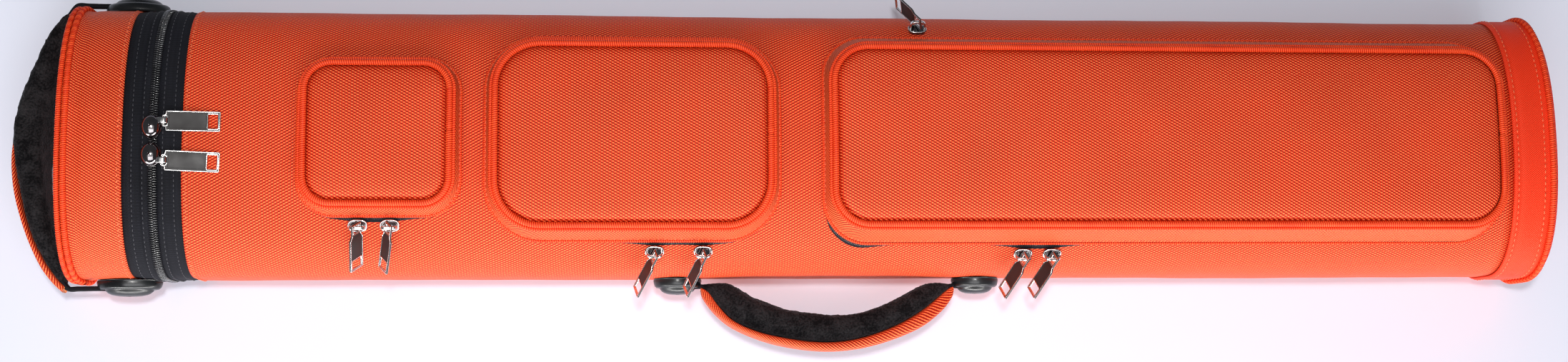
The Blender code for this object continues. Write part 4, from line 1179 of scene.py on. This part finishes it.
def slider_mesh():
    """A pocket slider: two plates with flared flanges, a post between them and an arch for the pull."""
    outline = mm(((-5.4, -2.2), (-2.5, -3.5), (3.0, -3.5), (5.4, -1.6)))
    outline += mm(((5.4, 1.6), (3.0, 3.5), (-2.5, 3.5), (-5.4, 2.2)))
    loop = rounded_loop(outline, 1.6 * MM)
    parts = [(plate_mesh([loop], 0.42 * MM, 0.15 * MM), Matrix.Translation((0, 0, 1.35 * MM)), metal)]
    parts.append((loop_cord([(x * 0.93, y * 0.9) for x, y in loop], 1.5 * MM, 0.42 * MM), HERE, edge_metal))
    low = rounded_loop([(x * 0.92, y * 0.9) for x, y in outline], 1.6 * MM)
    parts.append((plate_mesh([low], 0.3 * MM, 0.1 * MM), Matrix.Translation((0, 0, 0.32 * MM)), metal))
    wedge = rounded_loop(mm(((1.0, -1.2), (4.4, -0.6), (4.4, 0.6), (1.0, 1.2))), 0.5 * MM)
    parts.append((plate_mesh([wedge], 0.7 * MM, 0.05 * MM), Matrix.Translation((0, 0, 0.8 * MM)), metal))
    half = [(-3.95, 1.2), (-4.05, 3.4), (-3.8, 5.4), (-2.9, 6.5), (-1.4, 6.8)]
    arch = [(u * MM, 0, w * MM) for u, w in half] + [(-u * MM, 0, w * MM) for u, w in reversed(half)]
    parts.append((strap_mesh(smooth_line(arch), 0.9 * MM, 0.55 * MM, up=(0, 1, 0)), HERE, edge_metal))
    return joined("slider", parts)


def dome_mesh(side):
    """The lid's slider: a polished dome over a flanged plate, and a loop at its foot that holds the pull."""
    profile = [(0.90, 0.25), (0.97, 0.35), (1.0, 0.8), (1.0, 1.3), (0.965, 1.62), (0.90, 1.72), (0.90, 2.0)]
    profile.append((0.955, 2.15))
    for turn in np.radians(np.linspace(8, 86, 12)):
        profile.append((0.965 * math.cos(turn), 2.2 + 4.55 * math.sin(turn)))
    turn = 2 * np.pi * np.arange(40) / 40
    rows = []
    for grow, w in profile:
        long, wide = 6.7 * MM * grow * np.cos(turn), 5.35 * MM * grow * np.sin(turn)
        rows.append(np.column_stack([long, wide, np.full(40, w * MM)]))
    parts = [(grid_mesh("dome", rows, False, True, True), HERE, metal)]
    hook = ((3.2, 3.6), (5.2, 4.3), (7.4, 4.2), (8.5, 3.0), (8.2, 1.4), (6.8, 0.75), (4.8, 0.8))
    line = smooth_line([(side * LID_NOSE_SHIFT, v * MM, w * MM) for v, w in hook])
    parts.append((strap_mesh(line, 1.6 * MM, 0.5 * MM), HERE, edge_metal))
    return joined("dome", parts)


def make_sliders():
    """Every slider on its zip, and its pull hanging from it against the case."""
    arch, pull = slider_mesh(), pull_mesh(PULL_LENGTH, False)
    centre = Vector((0, 0, ARCH_CENTRE))
    for name, number, x, side, yaw, twist in POCKET_SLIDERS:
        pocket = POCKETS[name]
        y = side * (pocket.half_y + pocket.lean[1] + SLIDER_HALF_V + 0.9 * MM)
        seat = track_frame(x, y, "X") @ Matrix.Translation((0, 0, 1.5 * MM))
        swing = pull_frame(seat, centre, PULL_SETBACK, math.radians(side * yaw), math.radians(twist))
        place_pair(name, number, arch, seat, pull, swing)
    pull = pull_mesh(LID_PULL_LENGTH, True)
    for number, y, side, yaw in LID_SLIDERS:
        seat = track_frame(ZIP_X, y, "Y") @ Matrix.Translation((0, 0, 2.2 * MM))
        bar = Vector((side * LID_NOSE_SHIFT, 6.4 * MM, 2.5 * MM))
        swing = pull_frame(seat, bar, 0.0, math.radians(yaw), 0.0)
        place_pair("lid", number, dome_mesh(side), seat, pull, swing)


def place_pair(name, number, slider, seat, pull, swing):
    for kind, mesh, place in (("slider", slider, seat), ("pull", pull, swing)):
        node = f"{name}_{kind}_{number}"
        mesh = mesh.copy()
        mesh.transform(place)
        piece(f"{node}_finish", mesh, node, "gunmetal", replaces=[node])


# ---------------------------------------------------------------- handles

HANDLE_HALF_WIDTH = 14 * MM
ANCHOR_Z = 36 * MM
TOP_AXIS_X = -411 * MM
TOP_SWING = np.radians(20)
LID_END_CLEAR = 20.6 * MM
SIDE_ANCHORS = (-87 * MM, 89 * MM)
AXIS_OUT = HALF_WIDTH + 0.5 * MM + 4.4 * MM
TAIL_HALF_THICK = 1.4 * MM
COVER_DEPTH = 2.0 * MM
CLOTH_FRAMES = 20
CLOTH_PRESSURE = 4.0
PAD_CELL = 2.6 * MM

# Each handle in plan from anchor to anchor, in millimetres: inner edge, seam of pad and cover, outer edge,
# half width across the plan, and how far the pad's top leans out over the cover.
SIDE_PLAN = (
    ((-73.5, -80.4), (-73.5, -82.6), (-73.5, -84.8), 4.2, 0),
    ((-64.5, -79.6), (-69.2, -85.2), (-72.0, -89.3), 5.5, 0),
    ((-56.5, -80.2), (-62.7, -93.6), (-65.6, -97.6), 8.5, 0),
    ((-50.4, -84.4), (-54.0, -102.3), (-55.8, -105.6), 12.0, 0),
    ((-42.0, -89.8), (-40.5, -108.4), (-41.0, -112.4), 13.6, 0),
    ((-27.0, -95.4), (-25.7, -112.1), (-25.7, -116.9), 13.7, 0),
    ((-11.0, -98.2), (-8.2, -114.5), (-8.2, -119.6), 13.7, 0),
    ((5.0, -99.2), (7.2, -114.6), (7.2, -120.0), 13.7, 0),
    ((19.0, -98.0), (21.8, -112.0), (23.6, -118.0), 13.7, 0),
    ((34.0, -93.2), (38.5, -106.2), (41.6, -112.7), 13.7, 0),
    ((47.0, -86.9), (52.5, -98.8), (56.6, -105.9), 12.5, 0),
    ((58.5, -80.8), (64.6, -90.2), (68.3, -97.0), 8.5, 0),
    ((66.5, -79.6), (71.4, -84.6), (74.6, -89.2), 5.5, 0),
    ((75.0, -80.4), (75.2, -82.4), (76.0, -84.9), 4.2, 0),
)
TOP_PLAN = (
    ((-431.8, 79.4), (-433.0, 80.4), (-433.4, 80.8), 3.5, 1.0),
    ((-434.6, 73.0), (-438.6, 72.6), (-439.4, 72.8), 6.0, 3.0),
    ((-436.4, 63.0), (-445.0, 60.4), (-446.2, 60.8), 8.2, 4.4),
    ((-439.6, 47.0), (-452.5, 42.6), (-453.7, 43.0), 8.8, 4.6),
    ((-443.4, 28.0), (-458.2, 25.5), (-459.6, 26.0), 8.8, 4.6),
    ((-446.5, 10.0), (-461.8, 8.5), (-463.3, 8.5), 9.4, 3.6),
    ((-447.3, -6.0), (-462.4, -6.0), (-464.3, -8.0), 11.6, 1.6),
    ((-446.0, -22.0), (-459.8, -23.8), (-462.3, -25.0), 13.4, 0),
    ((-443.4, -37.0), (-456.0, -39.3), (-458.4, -40.3), 13.7, 0),
    ((-440.0, -51.0), (-450.6, -54.4), (-453.0, -56.0), 12.6, 0),
    ((-436.6, -63.0), (-444.8, -66.6), (-447.2, -69.4), 9.5, 0),
    ((-434.8, -72.0), (-438.8, -75.8), (-441.2, -78.4), 6.4, 0),
    ((-433.2, -78.6), (-434.2, -81.0), (-435.4, -84.2), 4.4, 0),
)


def plan_band(name, inner, outer, half_wide, thick_power, wide_power, lean=0.0):
    """A band round a level line, between an inner and an outer edge. lean moves its top outwards."""
    thick, wide = squarish(28, thick_power, wide_power)
    middle, half = (inner + outer) / 2, (outer - inner) / 2
    points = middle[:, None] + half[:, None] * thick[None, :, None]
    tilt = np.broadcast_to(lean, len(inner))[:, None] * wide[None, :]
    points = points + unit(half)[:, None] * tilt[..., None]
    points[..., 2] += wide[None, :] * np.broadcast_to(half_wide, len(inner))[:, None]
    return grid_mesh(name, points, False, True, True)


def fuzz(mesh, size, depth, seed):
    """Moves each vertex along its normal by a fine noise, so that the pile shows at the outline."""
    bumps = np.random.default_rng(seed)
    count = len(mesh.vertices)
    co, normal = np.empty(count * 3), np.empty(count * 3)
    mesh.vertices.foreach_get("co", co)
    mesh.vertices.foreach_get("normal", normal)
    co, normal = co.reshape(-1, 3), normal.reshape(-1, 3)
    phases = bumps.uniform(0, 6.28, (5, 3))
    waves = sum(np.sin(co @ bumps.normal(0, 2.2 / size, 3) + phase[0]) for phase in phases) / 5
    grain = bumps.normal(0, 0.45, count)
    co += normal * (depth * (waves + grain))[:, None]
    mesh.vertices.foreach_set("co", co.ravel())
    mesh.update()


def swollen(name, mesh, guide, cap):
    """The pad after a short cloth simulation under pressure, with each point's move capped."""
    obj = new_object(name, mesh)
    remesh = obj.modifiers.new("even", "REMESH")
    remesh.mode, remesh.voxel_size = "VOXEL", PAD_CELL
    applied(obj)
    places = np.array([vert.co for vert in obj.data.vertices])
    cloth = obj.modifiers.new("cloth", "CLOTH")
    cloth.settings.use_pressure = True
    cloth.settings.uniform_pressure_force = CLOTH_PRESSURE
    cloth.settings.effector_weights.gravity = 0.0
    cloth.settings.quality = 6
    cloth.point_cache.frame_start, cloth.point_cache.frame_end = 1, CLOTH_FRAMES
    scene = bpy.context.scene
    scene.frame_start, scene.frame_end = 1, CLOTH_FRAMES
    for number in range(1, CLOTH_FRAMES + 1):
        scene.frame_set(number)
    graph = bpy.context.evaluated_depsgraph_get()
    final = bpy.data.meshes.new_from_object(obj.evaluated_get(graph))
    obj.modifiers.clear()
    obj.data = final
    scene.frame_set(1)
    move = np.array([vert.co for vert in final.vertices]) - places
    length = np.linalg.norm(move, axis=1)[:, None]
    places = places + move * np.minimum(1, cap / np.maximum(length, 1e-9))
    obj.data.vertices.foreach_set("co", guide(places).ravel())
    obj.data.update()
    rounder = obj.modifiers.new("rounder", "SUBSURF")
    rounder.levels = rounder.render_levels = 1
    applied(obj)
    made = mesh_only(obj)
    made.shade_smooth()
    return made


def plan_line(points, steps):
    """A smooth line at the anchors' height, through points of a plan in millimetres."""
    return smooth_line([np.array([x, y, ANCHOR_Z / MM]) * MM for x, y in points], steps)


def make_handle(name, plan, tails, body, seed):
    """A plush pad from its inner edge to the seam, an orange cover from there outwards, and webbing tails."""
    inner, seam, outer = (plan_line(column, 10) for column in list(zip(*plan))[:3])
    half_wide = smooth_line([row[3] * MM for row in plan], 10)
    lean = smooth_line([row[4] * MM for row in plan], 10)
    out = unit(outer - inner)
    depth = np.maximum(((outer - seam) * out).sum(1), COVER_DEPTH)[:, None]
    cover = plan_band(f"{name}_cover", outer - out * depth, outer, half_wide, 0.75, 0.3)
    piece(f"{name}_fabric", cover, body, "orange_fabric", nylon_twill, replaces=[f"{name}_cover"])
    pad_wide = np.minimum(half_wide + 0.6 * MM + lean * 1.2, HANDLE_HALF_WIDTH - 0.2 * MM)
    mesh = plan_band(f"{name}_pad", inner, seam, pad_wide * 0.97, 0.5, 0.5, lean)
    middle, half = (inner + seam) / 2, np.linalg.norm(seam - inner, axis=1) / 2

    def guide(places):
        """Keeps the pad between its inner edge and the seam, and no wider than the cover."""
        gaps = np.linalg.norm(places[:, None, :2] - middle[None, :, :2], axis=2)
        nearest = gaps.argmin(1)
        rise = (places[:, 2] - ANCHOR_Z) / pad_wide[nearest]
        offset = ((places - middle[nearest]) * out[nearest]).sum(1)
        room = half[nearest]
        tilt = lean[nearest] * np.clip(rise, -1, 1)
        limit = np.clip(offset, tilt - room, tilt + room)
        places = places + out[nearest] * (limit - offset)[:, None]
        places[:, 2] = ANCHOR_Z + np.clip(rise, -1, 1) * pad_wide[nearest]
        if body == "top_handle":
            # The pad stays clear of the lid's end through the whole swing.
            tall = np.abs(places[:, 2] - ANCHOR_Z)
            edge = TOP_AXIS_X - (LID_END_CLEAR + np.sin(TOP_SWING) * tall) / np.cos(TOP_SWING)
            inside = np.abs(places[:, 1]) < HALF_WIDTH + 1 * MM
            places[inside, 0] = np.minimum(places[inside, 0], edge[inside])
        return places

    mesh = swollen(f"{name}_pile", mesh, guide, 4 * MM)
    fuzz(mesh, 2.2 * MM, 0.22 * MM, seed)
    pad = piece(f"{name}_plush", mesh, body, "black_plush", pile, replaces=[f"{name}_pad"])
    parts = []
    for points, wide in tails:
        line = plan_line(points, 8)
        spread = smooth_line([value * MM for value in wide], 8)
        along = unit(np.gradient(line, axis=0))
        beside = np.column_stack([along[:, 1], -along[:, 0], np.zeros(len(line))]) * TAIL_HALF_THICK
        parts.append((plan_band("tail", line - beside, line + beside, spread, 0.6, 0.4), HERE, tape))
    piece(f"{name}_webbing", joined(f"{name}_webbing", parts), body, "black_tape", tape)


def anchor(name, x, half_x, side, body, node):
    """A leaf-shaped glossy cap on the case's side: a rim, a groove and a raised oval."""
    wall = HALF_WIDTH + 0.35 * MM
    profile = [(1.0, 0.0), (1.02, 0.12), (1.0, 0.3), (0.965, 0.46), (0.90, 0.56), (0.84, 0.58), (0.80, 0.545)]
    profile += [(0.765, 0.57), (0.73, 0.68), (0.66, 0.80), (0.55, 0.90), (0.40, 0.965), (0.22, 0.995)]
    profile.append((0.06, 1.0))
    turn = 2 * np.pi * np.arange(56) / 56
    leaf = np.abs(np.cos(turn)) ** 1.12 * np.sign(np.cos(turn))
    tall = np.sin(turn) * (1 - 0.10 * np.cos(turn) ** 2)
    rows = []
    for grow, height in profile:
        y = np.full(56, side * (wall + 9.2 * MM * height))
        rows.append(np.column_stack([x + half_x * grow * leaf, y, ANCHOR_Z + 12 * MM * grow * tall]))
    mesh = grid_mesh(name, rows, False, True, True)
    piece(name, mesh, body, "black_plastic", glossy, replaces=[node])


def make_handles():
    """Both handles, their webbing tails and their anchors."""
    axis = AXIS_OUT / MM
    wide = [2.0, 2.0, 3.0, 4.0, 5.0]
    left = ([(-85, -axis), (-78, -axis), (-73, -axis), (-68, -83), (-62, -87)], wide)
    right = ([(87, -axis), (80, -axis), (75, -axis), (70, -83), (64, -87)], wide)
    make_handle("side_handle", SIDE_PLAN, (left, right), "side_handle", 11)
    for k, x in enumerate(SIDE_ANCHORS, 1):
        anchor(f"side_anchor_{k}", x, 13.8 * MM, -1, "case", f"side_handle_anchor_{k}")
    tails = []
    for side in (1, -1):
        line = ((-409, axis), (-418, axis), (-427, 82), (-433.2, 81.8), (-437.2, 76))
        tails.append(([(x, side * y) for x, y in line], [2.0, 2.0, 2.4, 2.8, 4.0]))
    make_handle("top_handle", TOP_PLAN, tails, "top_handle", 12)
    for k, side in enumerate((-1, 1), 1):
        anchor(f"top_anchor_{k}", -399 * MM, 18 * MM, side, "lid", f"top_handle_anchor_{k}")


# ---------------------------------------------------------------- inside


def soft_board(name, node, bead):
    """A velour-covered divider: rounded all round, with a bound bead along its front edge."""
    low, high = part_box(node)
    middle = (low + high) / 2
    size = high - low
    thin = 1 if size.y < size.z else 2
    wide = 3 - thin
    half_thin, half_wide = size[thin] / 2, size[wide] / 2
    a, b = squarish(24, 0.35, 0.12 if half_wide > 8 * half_thin else 0.2)
    rows = []
    xs = [low.x + 0.1 * MM, low.x + 0.6 * MM, low.x + 1.6 * MM, low.x + 3.0 * MM, low.x + 4.0 * MM]
    grows = [(0.45, 0.97), (0.85, 0.985), (1.0, 1.0), (1.0, 1.0), (0.86, 1.0)]
    for x in np.linspace(low.x + 6 * MM, high.x - 0.3 * MM, 40):
        xs.append(x)
        grows.append((0.86 + 0.05 * math.sin(70 * x), 1.0))
    for x, (grow_a, grow_b) in zip(xs, grows):
        row = np.zeros((24, 3))
        row[:, 0] = x
        row[:, thin] = middle[thin] + a * half_thin * grow_a
        row[:, wide] = middle[wide] + b * (half_wide - 0.2 * MM) * grow_b
        rows.append(row)
    mesh = grid_mesh(name, rows, False, True, True)
    piece(name, mesh, "case", "foam", bead, replaces=[node])


def make_inside():
    """Velour lining with a rolled lip, dividers, base pad and lid pad."""
    outer, inner = -(COVER + SHELL + 2 * GAP), -(COVER + SHELL + 2 * GAP + LINER)
    low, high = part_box("foam_liner")
    start, end = low.x, high.x
    middle, half = (outer + inner) / 2, (outer - inner) / 2
    rows = [(x, outer - 0.3 * MM) for x in (end, start + 40 * MM, start + 4 * MM)]
    for turn in np.radians(np.linspace(10, 170, 9)):
        rows.append((start + 2.1 * MM - 2.0 * MM * math.sin(turn), middle + half * 0.95 * math.cos(turn)))
    rows += [(start + 4 * MM, inner + 0.3 * MM), (start + 6 * MM, inner + 0.5 * MM)]
    for x in np.linspace(start + 14 * MM, end - 1 * MM, 60):
        rows.append((x, inner + 0.35 * MM + 0.15 * MM * math.sin(60 * x)))
    rows.append((end, inner + 0.3 * MM))
    points = case_rows(*zip(*rows), INSIDE_POINTS, 0.2 * MM)
    mesh = grid_mesh("lining_sleeve", points, True, True)
    obj = piece("lining_sleeve", mesh, "case", "foam", velour, replaces=["foam_liner"])
    soft_board("row_board", "row_divider", velour)
    for kind, count in (("butt", 2), ("shaft", 4)):
        for k in range(1, count + 1):
            soft_board(f"{kind}_board_{k}", f"{kind}_divider_{k}", velour)
    soft_end("base_cushion", "base_pad", "case", -1, inner - GAP)
    soft_end("lid_cushion", "lid_pad", "lid", 1, -(COVER + GAP + SHELL + GAP))


def soft_end(name, node, body, faces, out):
    """A round-edged pad across the section: faces is the way its soft side looks along X."""
    low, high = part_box(node)
    back, front = (low.x, high.x) if faces > 0 else (high.x, low.x)
    top = np.full(INSIDE_POINTS, back + faces * abs(front - back))
    middle = np.array(MIDDLE)
    ring, _, _ = section(out, INSIDE_POINTS, 0.0)
    profile = [(0.05, 0.04), (0.9, 0.04), (0.985, 0.12), (0.997, 0.35), (0.985, 0.6), (0.95, 0.8)]
    profile += [(0.88, 0.9), (0.7, 0.955), (0.45, 0.985), (0.2, 0.99), (0.03, 0.985)]
    rows = []
    for share, lift in profile:
        small = middle + (ring - middle) * share
        tuft = 0.05 * np.cos(small[:, 0] * 190) * np.cos((small[:, 1] - 0.04) * 190) if lift > 0.85 else 0
        rows.append(np.column_stack([top * (lift - tuft) + back * (1 - lift + tuft), small]))
    mesh = grid_mesh(name, np.array(rows), False, True, True)
    obj = piece(name, mesh, body, "foam", velour, replaces=[node])


def dress_frame():
    """Materials of their own for the CAD nodes that stay in view."""
    for node in ("body_shell", "lid_shell", "base_board"):
        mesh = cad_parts[node].data
        mesh.materials.clear()
        mesh.materials.append(board)


place_camera()
light_scene()
make_floor()
make_body_cover()
make_boot()
make_lid()
make_zip()
make_hinge()
for pocket in POCKETS.values():
    pocket.build()
make_sliders()
make_handles()
make_inside()
dress_frame()

bpy.context.view_layer.update()
